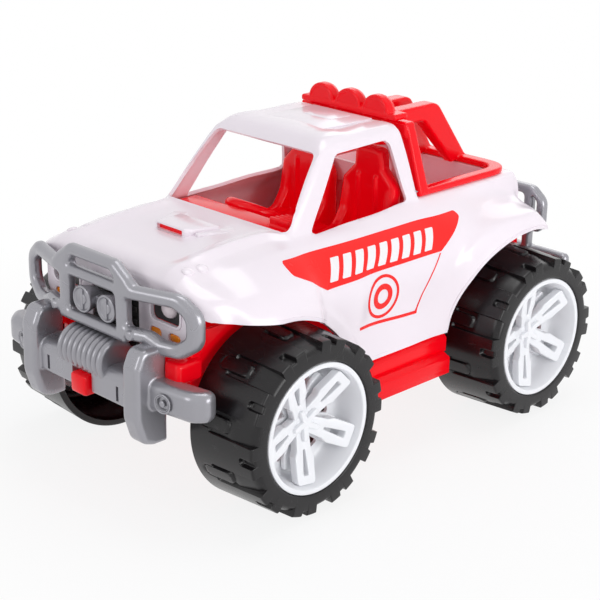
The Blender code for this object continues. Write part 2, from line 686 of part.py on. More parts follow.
def interior_tub():
    """The cabin's red floor with its dashboard and the console between the seats."""
    half = SILL_HALF - WALL - 0.0045
    floor_z = BED_FLOOR + GAP
    rear = CAB_REAR - WALL - 0.0030
    dash_top = HOOD_Z - 0.0060
    front = CAB_FRONT + 0.0040
    ledge = TUB_HALF - 0.0005
    tub = box("interior_tub", (-ledge, front, floor_z), (ledge, rear, floor_z + 0.0025), RED)
    dash = plate("dash", [rounded([(front, floor_z + 0.001, 0.0), (front + 0.0160, floor_z + 0.001, 0.0),
                                   (front + 0.0200, dash_top - 0.0080, 0.003),
                                   (front + 0.0140, dash_top - 0.0010, 0.004),
                                   (front, dash_top, 0.0)])], 2 * half, SIDE_VIEW, 0.0)
    combine(tub, dash, "UNION")
    console = box("console", (-0.0060, front + 0.0100, floor_z + 0.001), (0.0060, rear - 0.0200, 0.1280))
    combine(tub, soften(console, 0.0015), "UNION")
    hump = box("dash_hump", (0.0240, front + 0.0140, 0.1300), (0.0460, front + 0.0330, 0.1445))
    combine(tub, soften(hump, 0.0030, 2), "UNION")
    boss = cylinder("steering_boss", steering_point(STEERING_SEAT), steering_point(STEERING_SEAT + 0.0125),
                    0.0055, 16)
    return combine(tub, boss, "UNION")


def steering_point(reach):
    """A place on the steering column's line, at a distance ahead of the wheel's middle."""
    return Vector((-0.0225, CAB_FRONT + 0.0455, 0.1405)) + Vector((0, -0.915, -0.404)) * reach


def seat(side, sign):
    """A bucket seat with side bolsters and a headrest, in one moulding."""
    x = sign * 0.0280
    floor_z = BED_FLOOR + 0.0025 + 2 * GAP
    half = 0.0205
    rear = CAB_REAR - WALL - 0.0040
    cushion = box("seat_" + side, (x - half, -0.0260, floor_z),
                  (x + half, rear - 0.0060, floor_z + 0.0130), RED)
    head = ROOF_Z - 0.0163
    neck = head - 0.0135
    back = rounded([(x - half, floor_z + 0.001, 0.0), (x + half, floor_z + 0.001, 0.0),
                    (x + half, neck - 0.0100, 0.008), (x + half - 0.0070, neck - 0.0010, 0.006),
                    (x + 0.0125, neck, 0.0), (x + 0.0118, head, 0.005),
                    (x - 0.0118, head, 0.005), (x - 0.0125, neck, 0.0),
                    (x - half + 0.0070, neck - 0.0010, 0.006), (x - half, neck - 0.0100, 0.008)])
    combine(cushion, plate("back_" + side, [back], 0.0100, FRONT_VIEW, rear - 0.0060), "UNION")
    for edge in (-1, 1):
        inner, outer = sorted((x + edge * half, x + edge * (half - 0.0065)))
        bolster = plate("bolster_" + side + ("_a" if edge < 0 else "_b"),
                        [rounded([(-0.0120, floor_z + 0.001, 0.0), (rear - 0.0080, floor_z + 0.001, 0.0),
                                  (rear - 0.0080, neck - 0.0070, 0.002),
                                  (rear - 0.0140, neck - 0.0070, 0.006),
                                  (rear - 0.0180, 0.1360, 0.010), (-0.0120, 0.1280, 0.004)])],
                        outer - inner, SIDE_VIEW, (inner + outer) / 2)
        combine(cushion, bolster, "UNION")
    return cushion


def steering_wheel():
    """A thick wheel on a short column that stands on the dashboard."""
    centre = steering_point(0.0)
    ring = [(0.0150 + 0.0036 * math.cos(math.radians(45 * step)), 0.0036 * math.sin(math.radians(45 * step)))
            for step in range(8)]
    lean = Matrix.Translation(centre) @ Vector((0, 0.42, 0.91)).to_track_quat("X", "Y").to_matrix().to_4x4()
    wheel = turned("steering_wheel", ring, 18, finish=RED, matrix=lean)
    for number, turn in enumerate((90, 210, 330)):
        side = Vector((0.0, math.cos(math.radians(turn)), math.sin(math.radians(turn)))) * 0.0145
        spoke = [lean @ Vector((-0.0010, 0, 0)), lean @ side]
        combine(wheel, tube("wheel_spoke_" + str(number), spoke, 0.0020, sides=1), "UNION")
    column = cylinder("column", steering_point(-0.0010), steering_point(STEERING_SEAT - GAP), 0.0042, 12)
    return combine(wheel, column, "UNION")


# The front

def front_bumper():
    """The silver bumper: beam, ribbed drum, two posts and two wings in one moulding."""
    rear = BEAM_FRONT + 0.0205
    beam_outline = rounded([(BEAM_FRONT, 0.0690, 0.001), (BEAM_FRONT, 0.0885, 0.007),
                            (rear, 0.0885, 0.004), (rear, 0.0690, 0.001)])
    inner_post = POST_HALF - POST_WIDTH / 2
    bumper = plate("front_bumper", [beam_outline], 2 * inner_post + 0.002, SIDE_VIEW, 0.0, SILVER)
    combine(bumper, drum(), "UNION")
    for side, x in mirrored(1.0):
        combine(bumper, bumper_post(side, x), "UNION")
        combine(bumper, bumper_wing(side, x), "UNION")
        slot = x * 0.0325
        combine(bumper, box("beam_slot_" + side, (slot - 0.0010, BEAM_FRONT - 0.005, 0.0715),
                            (slot + 0.0010, BEAM_FRONT + 0.004, 0.0800)))
    combine(bumper, box("tongue_notch", (-0.0090, BEAM_FRONT - 0.010, 0.0600),
                        (0.0090, rear + 0.005, 0.0812)))
    return bumper


def drum():
    """The winch drum with its rope grooves."""
    profile = [(0.0, -DRUM_HALF)]
    pitch = 2 * DRUM_HALF / DRUM_RIBS
    groove = 0.0016
    for rib in range(DRUM_RIBS):
        left = -DRUM_HALF + rib * pitch
        profile.append((DRUM_RADIUS - groove, left))
        profile.append((DRUM_RADIUS, left + pitch * 0.30))
        profile.append((DRUM_RADIUS, left + pitch * 0.70))
    profile.append((DRUM_RADIUS - groove, DRUM_HALF))
    profile.append((0.0, DRUM_HALF))
    place = Matrix.Translation((0, BEAM_FRONT + 0.0100, 0.0898))
    return turned("drum", profile, 14, closed=False, matrix=place)


def bumper_post(side, sign):
    """An upright of the bumper, bowed forwards, from the loops down to the skid foot."""
    front = -FRONT_REACH
    outline = rounded([(front + 0.0290, 0.1060, 0.002), (front + 0.0130, 0.1060, 0.006),
                       (front + 0.0020, 0.0960, 0.008), (front, 0.0780, 0.010),
                       (front + 0.0060, 0.0570, 0.010), (front + 0.0150, 0.0485, 0.003),
                       (front + 0.0280, 0.0485, 0.002), (front + 0.0300, 0.0640, 0.002)])
    post = plate("post_" + side, [outline], POST_WIDTH, SIDE_VIEW, sign * POST_HALF)
    return soften(post, 0.0016)


def bumper_wing(side, sign):
    """A side wing of the bumper, swept back to a round tip."""
    low = 0.0715
    high = 0.0885
    root = POST_HALF + POST_WIDTH / 2 - 0.002
    outline = rounded([(sign * root, BEAM_FRONT + 0.0035, 0.0), (sign * root, BEAM_FRONT + 0.0180, 0.0),
                       (sign * (WING_HALF - 0.004), BEAM_FRONT + 0.0260, 0.003),
                       (sign * WING_HALF, BEAM_FRONT + 0.0180, 0.004),
                       (sign * (WING_HALF - 0.006), BEAM_FRONT + 0.0100, 0.007)])
    wing = plate("wing_" + side, [outline], high - low, TOP_VIEW, (low + high) / 2)
    return soften(wing, 0.0022, 2)


def bull_bar():
    """The guard: a middle frame with a hoop on it and a loop to each side."""
    bar = GUARD_BAR
    half = GUARD_HALF
    low = 0.1036
    waist = 0.1380
    outline = [(half, low, 0.001), (half, 0.1068, 0.001), (half + 0.0020, 0.1068, 0.0),
               (0.0680, 0.1068, 0.006), (LOOP_HALF, 0.1165, 0.010), (LOOP_HALF, 0.1290, 0.012),
               (0.0640, waist + 0.0005, 0.010), (0.0360, waist + 0.0010, 0.003), (0.0325, 0.1430, 0.003),
               (0.0215, 0.1505, 0.006)]
    loop = [(x, z, r) for x, z, r in outline] + [(-x, z, r) for x, z, r in reversed(outline)]
    inside = half - bar
    middle_hole = rounded([(-inside, low + 0.0066, 0.002), (inside, low + 0.0066, 0.002),
                           (inside - 0.0010, waist - bar, 0.002), (-inside + 0.0010, waist - bar, 0.002)], 2)
    hoop_hole = rounded([(-half + bar + 0.002, waist, 0.002), (half - bar - 0.002, waist, 0.002),
                         (0.0150, 0.1440, 0.003), (-0.0150, 0.1440, 0.003)], 2)
    holes = [middle_hole, hoop_hole]
    for sign in (1, -1):
        hole = [(half, 0.1140, 0.001), (0.0640, 0.1140, 0.006), (LOOP_HALF - bar, 0.1200, 0.006),
                (LOOP_HALF - bar, 0.1270, 0.006), (0.0600, 0.1312, 0.006), (half, 0.1312, 0.001)]
        holes.append(rounded([(sign * x, z, r) for x, z, r in hole], 2))
    guard = plate("bull_bar", [rounded(loop, 2)] + holes, GUARD_DEPTH, FRONT_VIEW,
                  GUARD_Y + GUARD_DEPTH / 2, SILVER)
    bm = bmesh.new()
    bm.from_mesh(guard.data)
    bend = half + 0.0045
    for x in (-bend, bend):
        bmesh.ops.bisect_plane(bm, geom=[*bm.verts, *bm.edges, *bm.faces], plane_co=(x, 0, 0),
                               plane_no=(1, 0, 0), dist=0.00001)
    bm.to_mesh(guard.data)
    bm.free()
    for vert in guard.data.vertices:
        beyond = abs(vert.co.x) - bend
        if beyond > 0:
            vert.co.y += 0.26 * beyond
    return soften(guard, 0.0012)


def fog_lamps():
    """Two round lamps on a short bracket inside the guard."""
    y = GUARD_Y + 0.0030
    z = 0.1189
    pair = box("fog_lamps", (-0.0120, y + 0.0040, z - 0.0025), (0.0120, FASCIA_Y - GAP, z + 0.0025), SILVER)
    for side, x in mirrored(0.0112):
        face = cylinder("fog_" + side, (x, y + 0.0090, z), (x, y, z), 0.0055, 20, end_radius=0.0083)
        combine(pair, face, "UNION")
    return pair


def grille():
    """The dark panel behind the guard, between the lamp panels."""
    panel = box("grille", (-0.0212, FASCIA_Y, 0.0920), (0.0212, FASCIA_Y + 0.0025, NOSE_Z - 0.0030), BLACK)
    for index in range(5):
        z = 0.0985 + index * 0.0070
        combine(panel, box("grille_gap_" + str(index), (-0.0180, FASCIA_Y - 0.001, z),
                           (0.0180, FASCIA_Y + 0.0012, z + 0.0030)))
    return panel


def lamp_panel(side, sign):
    """The pale panel around one headlamp, with its lamp and indicator holes."""
    inner = 0.0212 + GAP
    outer = NOSE_HALF - 0.0120
    frame = [(sign * x, z) for x, z in rounded([(inner, 0.0960, 0.001), (outer - 0.006, 0.0960, 0.005),
                                                 (outer, 0.1120, 0.006), (outer, NOSE_Z - 0.0115, 0.002),
                                                 (outer - 0.0075, NOSE_Z - 0.0049, 0.001),
                                                 (outer - 0.0160, NOSE_Z - 0.0040, 0.0),
                                                 (inner, NOSE_Z - 0.0030, 0.001)])]
    lamp = [(sign * x, z) for x, z in rounded(lamp_opening(0.0))]
    holes = [[(sign * (x + dx), LENS_Z - 0.0152 + dz) for dx, dz in rounded(indicator_outline(0.0), 2)]
             for x in indicator_places()]
    return plate("lamp_panel_" + side, [frame, lamp] + holes, 0.0024, FRONT_VIEW, FASCIA_Y + 0.0012, WHITE)


def lamp_opening(shrink):
    """The headlamp's opening in its panel, drawn in by a clearance."""
    low = LENS_Z - 0.0072 + shrink
    high = LENS_Z + 0.0066 - shrink
    inner = LENS_X - 0.0125 + shrink
    outer = LENS_X + 0.0118 - shrink
    return [(inner, low, 0.0035), (outer, low, 0.0035), (outer, high, 0.0035), (inner, high, 0.0035)]


def indicator_outline(shrink):
    half = 0.0045 - shrink
    tall = 0.0026 - shrink
    return [(-half, -tall, 0.0022), (half, -tall, 0.0022), (half, tall, 0.0022), (-half, tall, 0.0022)]


def indicator_places():
    return (LENS_X - 0.0095, LENS_X + 0.0070)


def headlamp(side, sign):
    """The black cup behind the panel's opening."""
    outline = [(sign * x, z) for x, z in rounded(lamp_opening(GAP))]
    depth = 0.0090
    cup = plate("headlamp_housing_" + side, [outline], depth, FRONT_VIEW,
                FASCIA_Y + 0.0006 + depth / 2, BLACK)
    seat_hole = cylinder("lens_seat_" + side, (sign * LENS_X, FASCIA_Y - 0.001, LENS_Z),
                         (sign * LENS_X, FASCIA_Y + 0.0060, LENS_Z), 0.0060, 20)
    return combine(cup, seat_hole)


def headlamp_lens(side, sign):
    """The pale round lens."""
    y = FASCIA_Y + 0.0060 - GAP
    x = sign * LENS_X
    return cylinder("headlamp_lens_" + side, (x, y, LENS_Z), (x, FASCIA_Y + 0.0008, LENS_Z),
                    0.0060 - GAP, 20, CLEAR, end_radius=0.0046)


def indicators(side, sign):
    """The two orange indicators of one side, in one moulding with the strip that joins them."""
    loops = [[(sign * (x + dx), LENS_Z - 0.0152 + dz) for dx, dz in rounded(indicator_outline(GAP), 2)]
             for x in indicator_places()]
    first = plate("indicators_" + side, loops[:1], 0.0032, FRONT_VIEW, FASCIA_Y + 0.0017, ORANGE)
    second = plate("indicator_outer_" + side, loops[1:], 0.0032, FRONT_VIEW, FASCIA_Y + 0.0017)
    ends = sorted(sign * x for x in indicator_places())
    strip = box("indicator_strip_" + side, (ends[0] - 0.002, FASCIA_Y + 0.0024 + GAP, LENS_Z - 0.0165),
                (ends[1] + 0.002, FASCIA_Y + 0.0042, LENS_Z - 0.0139))
    combine(first, second, "UNION")
    return combine(first, strip, "UNION")


# The rear

def rear_bumper():
    """The silver bumper beam at the back, with its wings swept forwards."""
    back = REAR_REACH
    low = 0.0800
    high = 0.0950
    half = WING_HALF - 0.0020
    mount = TAIL_Y + 0.0020 + GAP
    outline = [(0, back, 0.0), (0.0600, back, 0.004), (half - 0.003, back - 0.0005, 0.003),
               (half, back - 0.0070, 0.003), (half - 0.003, back - 0.0080, 0.002),
               (0.0600, back - 0.0080, 0.0), (0.0540, back - 0.0150, 0.002), (0.0300, back - 0.0150, 0.0),
               (0.0300, mount, 0.0), (0, mount, 0.0)]
    loop = outline[1:-1] + [(-x, y, r) for x, y, r in reversed(outline[1:-1])]
    beam = plate("rear_bumper", [rounded(loop, 2)], high - low, TOP_VIEW, (low + high) / 2, SILVER)
    return soften(beam, 0.0020)


def rear_bar():
    """The silver rail above the rear bumper."""
    bar = 0.0066
    top = 0.1405
    low = 0.0950 + GAP
    half = LOOP_HALF - 0.001
    leg = half - 0.0108
    outline = [(leg, low, 0.0), (leg, low + 0.0127, 0.002), (leg + 0.0080, low + 0.0127, 0.006),
               (half, low + 0.0207, 0.006), (half, top - 0.0085, 0.010), (leg, top, 0.008)]
    loop = outline + [(-x, z, r) for x, z, r in reversed(outline)]
    post = leg - bar
    inner = [(post, low, 0.0), (post, top - bar, 0.002), (-post, top - bar, 0.002), (-post, low, 0.0)]
    hole = [(leg, low + 0.0193, 0.001), (half - bar, low + 0.0227, 0.003), (half - bar, top - 0.0105, 0.006),
            (leg, top - bar, 0.002)]
    outer = rounded(loop)
    inner_loop = rounded(inner)
    whole = [place for place in outer] + [place for place in reversed(inner_loop)]
    holes = [rounded([(sign * x, z, r) for x, z, r in hole], 2) for sign in (1, -1)]
    rail = plate("rear_bar", [whole] + holes, 0.0070, FRONT_VIEW, TAIL_Y + 0.0110, SILVER)
    return soften(rail, 0.0010)


# The wheels

def tyre(name, pivot, sign, phase):
    """A hollow tyre, open towards the car, with scoops and slots along its shoulder."""
    face = WHEEL_FACE
    inner = WHEEL_INNER
    crown = TYRE_RADIUS
    edge = crown - TYRE_TAPER
    wall = TYRE_WALL
    seat_radius = RIM_RADIUS + GAP
    profile = [(crown - 0.0010, inner), (crown, inner + 0.0015), (edge, face - 0.0015),
               (edge - 0.0015, face),
               (seat_radius, face), (seat_radius, face - 0.0120), (RIM_RADIUS + 0.0040, face - 0.0120),
               (edge - wall, face - wall - 0.001), (crown - wall - 0.001, inner)]
    body = turned(name, profile, 32, finish=RUBBER, parent=pivot)
    tread = tread_cutter(name + "_tread", pivot)
    combine(body, tread)
    for piece in (body, tread):
        piece.rotation_euler = (math.radians(phase), 0, math.pi if sign < 0 else 0)
    return body


def tread_cutter(name, pivot):
    """Ten wide scoops and ten narrow slots, all in one mesh."""
    bm = bmesh.new()
    units = 10
    for unit in range(units):
        for turn, half_angle, reach, depth in ((7.0, 6.5, 0.0085, 0.0026), (25.0, 2.4, 0.0090, 0.0024)):
            middle = math.radians(unit * 360 / units + turn)
            half = math.radians(half_angle)
            deep = WHEEL_FACE - reach
            out = WHEEL_FACE + 0.002
            high = TYRE_RADIUS + 0.004
            corners = ((deep, TYRE_RADIUS - 0.0012), (out, TYRE_RADIUS - TYRE_TAPER - depth),
                       (out, high), (deep, high))
            block = []
            for angle in (middle - half, middle + half):
                for x, radius in corners:
                    block.append(bm.verts.new((x, radius * math.cos(angle), radius * math.sin(angle))))
            bmesh.ops.convex_hull(bm, input=block)
    return from_bmesh(name, bm, parent=pivot)


def rim(name, pivot, sign, phase):
    """A deep-dished wheel with five double spokes, pressed on the axle."""
    face = WHEEL_FACE
    lip = RIM_RADIUS
    bore = AXLE_RADIUS + GAP
    profile = [(0.0, face - 0.0155), (bore, face - 0.0155), (bore, face - 0.0460),
               (0.0065, face - 0.0460), (0.0075, face - 0.0226), (lip - 0.0048, face - 0.0215),
               (lip - 0.0030, face - 0.0118), (lip, face - 0.0118), (lip, face), (lip - 0.0032, face),
               (lip - 0.0065, face - 0.0190), (0.0075, face - 0.0200), (0.0075, face - 0.0122),
               (0.0, face - 0.0122)]
    wheel = turned(name, profile, 24, closed=False, finish=WHITE, parent=pivot)
    holes = hole_tool(name + "_holes", pivot)
    spokes = spoke_tool(name + "_spokes", pivot)
    combine(wheel, holes)
    combine(wheel, spokes, "UNION", "MANIFOLD")
    for piece in (wheel, spokes, holes):
        piece.rotation_euler = (math.radians(phase), 0, math.pi if sign < 0 else 0)
    return wheel


def spoke_tool(name, pivot):
    """Five double spokes that rise from the hub to the rim: each is two bars around a slot."""
    outer = ((0.0030, -0.0040), (0.0180, -0.0042), (0.0215, -0.0070), (0.0352, -0.0070),
             (0.0352, 0.0070), (0.0215, 0.0070), (0.0180, 0.0042), (0.0030, 0.0040))
    slot = ((0.0130, -0.0010), (0.0305, -0.0028), (0.0305, 0.0028), (0.0130, 0.0010))
    arms = []
    for index in range(5):
        arm = plate(name + str(index), [outer, slot], 0.0050, SIDE_VIEW, WHEEL_FACE - 0.0150, parent=pivot)
        for vert in arm.data.vertices:
            vert.co.x += 0.31 * (vert.co.y - 0.0060)
        arm.data.transform(Matrix.Rotation(2 * math.pi * index / 5, 4, "X"))
        arms.append(arm)
    first = arms[0]
    for arm in arms[1:]:
        combine(first, arm, "UNION")
    return baked(first)


def hole_tool(name, pivot):
    """Five openings near the hub, between the spokes."""
    bm = bmesh.new()
    for index in range(5):
        middle = 2 * math.pi * (index + 0.5) / 5
        block = []
        for radius, half in ((0.0120, 0.24), (0.0230, 0.26)):
            for angle in (middle - half, middle + half):
                for x in (WHEEL_FACE - 0.0300, WHEEL_FACE - 0.0150):
                    block.append(bm.verts.new((x, radius * math.cos(angle), radius * math.sin(angle))))
        bmesh.ops.convex_hull(bm, input=block)
    return from_bmesh(name, bm, parent=pivot)


def axle_set(name, y, phase):
    """One steel axle with its two wheels, all about the axle's own line."""
    pivot = empty(name + "_axle_pivot", (0, y, AXLE_Z), FRAME)
    reach = WHEEL_FACE - 0.0155 - GAP
    cylinder(name + "_axle", (-reach, 0, 0), (reach, 0, 0), AXLE_RADIUS, 24, STEEL, pivot)
    for side, sign in (("left", 1), ("right", -1)):
        tyre("tyre_" + name + "_" + side, pivot, sign, 0)
        rim("rim_" + name + "_" + side, pivot, sign, phase)


def shade():
    """Round surfaces shade smooth and edges stay sharp."""
    for piece in PARTS.objects:
        if piece.type == "MESH":
            piece.data.shade_smooth()
            piece.data.set_sharp_from_angle(angle=math.radians(35))


body_shell()
roll_cage()
light_bar()
chassis()
keeper("front", FRONT_AXLE)
keeper("rear", REAR_AXLE)
interior_tub()
seat("left", 1)
seat("right", -1)
steering_wheel()
front_bumper()
bull_bar()
fog_lamps()
grille()
for side_name, side_sign in (("left", 1), ("right", -1)):
    lamp_panel(side_name, side_sign)
    headlamp(side_name, side_sign)
    headlamp_lens(side_name, side_sign)
    indicators(side_name, side_sign)
rear_bumper()
rear_bar()
axle_set("front", FRONT_AXLE, -27)
axle_set("rear", REAR_AXLE, -35)
for number, (x, y) in enumerate([(x, y) for y in (FRONT_AXLE, REAR_AXLE) for x in (-0.034, 0.034)]):
    screw("keeper_screw_" + str(number + 1), x, y - 0.0080, TUB_BOTTOM - 0.0024 - 2 * GAP)
for number, (x, y) in enumerate([(x, y) for y in (-0.050, 0.030) for x in (-0.045, 0.045)]):
    screw("body_screw_" + str(number + 1), x, y, TUB_BOTTOM - GAP)
shade()
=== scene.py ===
# %% [markdown]
# # A moulded toy pickup car
#
# The real object is a large plastic toy: a white shell about two millimetres thick, clipped over a red
# chassis, with silver-grey bumpers and a guard, and four wide blown tyres on deep white rims. The packed
# model gives the frame: its bodies, its joints and where each part lies. This lesson builds the finer
# pieces that are seen over it, one material at a time.

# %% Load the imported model
import json
import math

import bmesh
import bpy
import numpy as np
from mathutils import Matrix, Vector


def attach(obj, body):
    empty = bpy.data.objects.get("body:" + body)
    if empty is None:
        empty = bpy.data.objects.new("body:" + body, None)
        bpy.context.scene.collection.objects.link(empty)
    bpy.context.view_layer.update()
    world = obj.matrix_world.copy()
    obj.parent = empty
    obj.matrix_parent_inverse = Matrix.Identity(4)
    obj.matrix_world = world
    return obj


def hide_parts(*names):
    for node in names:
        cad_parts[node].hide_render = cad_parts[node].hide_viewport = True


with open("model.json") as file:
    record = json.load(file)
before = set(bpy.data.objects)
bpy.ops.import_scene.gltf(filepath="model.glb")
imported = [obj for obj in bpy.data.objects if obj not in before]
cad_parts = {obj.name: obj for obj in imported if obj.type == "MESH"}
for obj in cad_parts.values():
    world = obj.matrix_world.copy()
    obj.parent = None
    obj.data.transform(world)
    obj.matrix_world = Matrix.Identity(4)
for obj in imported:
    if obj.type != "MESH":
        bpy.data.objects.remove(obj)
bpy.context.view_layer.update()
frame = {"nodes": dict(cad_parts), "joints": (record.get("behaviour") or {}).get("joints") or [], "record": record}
axle_y = [joint["pos_m"][1] for joint in frame["joints"]]
MID_Y = sum(axle_y) / 2
MM = 0.001
print("nodes", len(frame["nodes"]), "axles at", axle_y, "middle of the wheelbase at", MID_Y)

# %% [markdown]
# ## A few helpers
#
# Most pieces here are drawn in millimetres about the middle of the wheelbase, because that is how a car
# is measured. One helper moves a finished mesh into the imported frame, in metres. An operator in Blender
# acts on all that is selected, so the selection is always cleared first.

# %% Selecting, editing and finishing


def deselect():
    """Object mode with nothing selected."""
    if bpy.context.object and bpy.context.object.mode != "OBJECT":
        bpy.ops.object.mode_set(mode="OBJECT")
    bpy.ops.object.select_all(action="DESELECT")


def activate(piece):
    deselect()
    piece.select_set(True)
    bpy.context.view_layer.objects.active = piece


def begin(name, operator, **settings):
    """A primitive from its operator, with its place worked into its mesh."""
    deselect()
    operator(**settings)
    piece = bpy.context.object
    piece.name = name
    bpy.ops.object.transform_apply(location=True, rotation=True, scale=True)
    return piece


def edit(piece, test=None, kind="FACE"):
    """Edit mode with the faces, edges or vertices chosen whose middle passes the test."""
    activate(piece)
    bpy.ops.object.mode_set(mode="EDIT")
    bpy.ops.mesh.select_mode(type=kind)
    bpy.ops.mesh.select_all(action="SELECT" if test is None else "DESELECT")
    if test is None:
        return
    net = bmesh.from_edit_mesh(piece.data)
    chosen = {"FACE": net.faces, "EDGE": net.edges, "VERT": net.verts}[kind]
    for part in chosen:
        if kind == "FACE":
            part.select_set(bool(test(part.calc_center_median(), part.normal)))
        elif kind == "EDGE":
            part.select_set(bool(test((part.verts[0].co + part.verts[1].co) / 2, part)))
        else:
            part.select_set(bool(test(part.co, part)))
    net.select_flush_mode()
    bmesh.update_edit_mesh(piece.data)


def done():
    bpy.ops.object.mode_set(mode="OBJECT")


def change(piece, operator, test=None, kind="FACE", **settings):
    """One edit-mode operator on the part of a piece that passes the test."""
    edit(piece, test, kind)
    operator(**settings)
    done()


def add_modifier(piece, kind, **settings):
    step = piece.modifiers.new(kind.lower(), kind)
    for key, value in settings.items():
        setattr(step, key, value)
    return step


def apply_modifiers(piece):
    activate(piece)
    for step in list(piece.modifiers):
        bpy.ops.object.modifier_apply(modifier=step.name)


def carve(piece, cutter):
    """Takes the cutter's form out of a piece."""
    add_modifier(piece, "BOOLEAN", operation="DIFFERENCE", solver="EXACT", object=cutter)
    apply_modifiers(piece)
    bpy.data.objects.remove(cutter)


def joined(pieces, name):
    """Several meshes as one piece."""
    activate(pieces[0])
    for piece in pieces[1:]:
        piece.select_set(True)
    bpy.ops.object.join()
    pieces[0].name = name
    pieces[0].data.name = name
    return pieces[0]


def copied(piece, name, matrix):
    """A copy with its own mesh, moved by a matrix and turned right side out."""
    twin = piece.copy()
    twin.data = piece.data.copy()
    twin.name = name
    bpy.context.collection.objects.link(twin)
    twin.data.transform(matrix)
    if matrix.determinant() < 0:
        twin.data.flip_normals()
    return twin


MIRROR_X = Matrix.Diagonal((-1, 1, 1, 1))


def place(piece, slot=None, smooth=30, body="car", material=None):
    """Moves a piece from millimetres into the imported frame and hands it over.

    A piece with a slot replaces the node that its name begins with, and has the slot's own finish
    unless another is given.
    """
    activate(piece)
    piece.data.transform(Matrix.Translation((0, MID_Y, 0)) @ Matrix.Scale(MM, 4))
    bpy.ops.object.shade_smooth_by_angle(angle=math.radians(smooth))
    piece.data.materials.clear()
    piece.data.materials.append(material or SLOT_FINISH[slot])
    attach(piece, body)
    if slot:
        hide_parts(piece.name.removesuffix("_look"))
    print(piece.name, len(piece.data.polygons), "faces")


# %% [markdown]
# ## Materials
#
# The toy is moulded in a few plastics. Each one here starts from the real plastic: what its surface
# does to light, and how the mould left it. Colours are written as sRGB hex values and turned to linear
# numbers by one function, because Blender's shader nodes count light and not screen values.

# %% Colour and node helpers


def linear(code):
    """An sRGB hex colour as linear numbers."""
    parts = [int(code[i:i + 2], 16) / 255 for i in (1, 3, 5)]
    return [c / 12.92 if c <= 0.04045 else ((c + 0.055) / 1.055) ** 2.4 for c in parts] + [1.0]


def add_node(tree, kind, inputs=None, **settings):
    """One node, its settings, and its inputs, each a value or another node's socket."""
    node = tree.nodes.new(kind)
    for key, value in settings.items():
        setattr(node, key, value)
    for key, value in (inputs or {}).items():
        if isinstance(value, bpy.types.NodeSocket):
            tree.links.new(value, node.inputs[key])
        else:
            node.inputs[key].default_value = value
    return node


def bare_tree(holder):
    """The empty node tree of a material or a world."""
    holder.use_nodes = True
    holder.node_tree.nodes.clear()
    return holder.node_tree


def moulded(name, code, shade, roughness, grain_mm, bump_mm, wear, **shader):
    """A moulded plastic.

    Its colour drifts between two shades in clouds about 45 mm wide, as pigment does in a mould. Its
    roughness has patches from handling and fine scuffs. Its bump has the mould's grain, drawn coarser
    than the real one so that it shows, and a waviness about 18 mm long.
    """
    material = bpy.data.materials.new(name)
    tree = bare_tree(material)
    where = add_node(tree, "ShaderNodeTexCoord").outputs["Object"]
    cloud = add_node(tree, "ShaderNodeTexNoise", {"Vector": where, "Scale": 22.0, "Detail": 3.0})
    grain = add_node(tree, "ShaderNodeTexNoise",
                     {"Vector": where, "Scale": 1 / (grain_mm * MM), "Detail": 2.0})
    wave = add_node(tree, "ShaderNodeTexNoise", {"Vector": where, "Scale": 55.0, "Detail": 1.0})
    stretch = add_node(tree, "ShaderNodeMapping", {"Vector": where, "Scale": (90.0, 900.0, 260.0),
                                                   "Rotation": (0.5, 0.3, 0.9)})
    scuff = add_node(tree, "ShaderNodeTexNoise", {"Vector": stretch.outputs["Vector"], "Scale": 1.0,
                                                  "Detail": 4.0, "Roughness": 0.6})
    tone = add_node(tree, "ShaderNodeMix", {0: cloud.outputs["Fac"], 6: linear(code), 7: linear(shade)},
                    data_type="RGBA")
    lines = add_node(tree, "ShaderNodeMapRange", {"Value": scuff.outputs["Fac"], "From Min": 0.62,
                                                  "From Max": 0.80, "To Min": 0.0, "To Max": wear})
    worn = add_node(tree, "ShaderNodeMix", {0: lines.outputs["Result"], 6: tone.outputs[2],
                                            7: linear("#BDB9BC")}, data_type="RGBA")
    patches = add_node(tree, "ShaderNodeMapRange", {"Value": cloud.outputs["Fac"], "From Min": 0.3,
                                                    "From Max": 0.7, "To Min": roughness * 0.88,
                                                    "To Max": roughness * 1.15})
    rough = add_node(tree, "ShaderNodeMath", {0: patches.outputs["Result"], 1: lines.outputs["Result"]},
                     operation="ADD")
    fine = add_node(tree, "ShaderNodeBump", {"Height": grain.outputs["Fac"], "Strength": 1.0,
                                             "Distance": bump_mm * MM})
    slow = add_node(tree, "ShaderNodeBump", {"Height": wave.outputs["Fac"], "Strength": 1.0,
                                             "Distance": 0.035 * MM, "Normal": fine.outputs["Normal"]})
    plastic = add_node(tree, "ShaderNodeBsdfPrincipled",
                       {"Base Color": worn.outputs[2], "Roughness": rough.outputs["Value"],
                        "Normal": slow.outputs["Normal"], "IOR": 1.53, **shader})
    add_node(tree, "ShaderNodeOutputMaterial", {"Surface": plastic.outputs["BSDF"]})
    return material
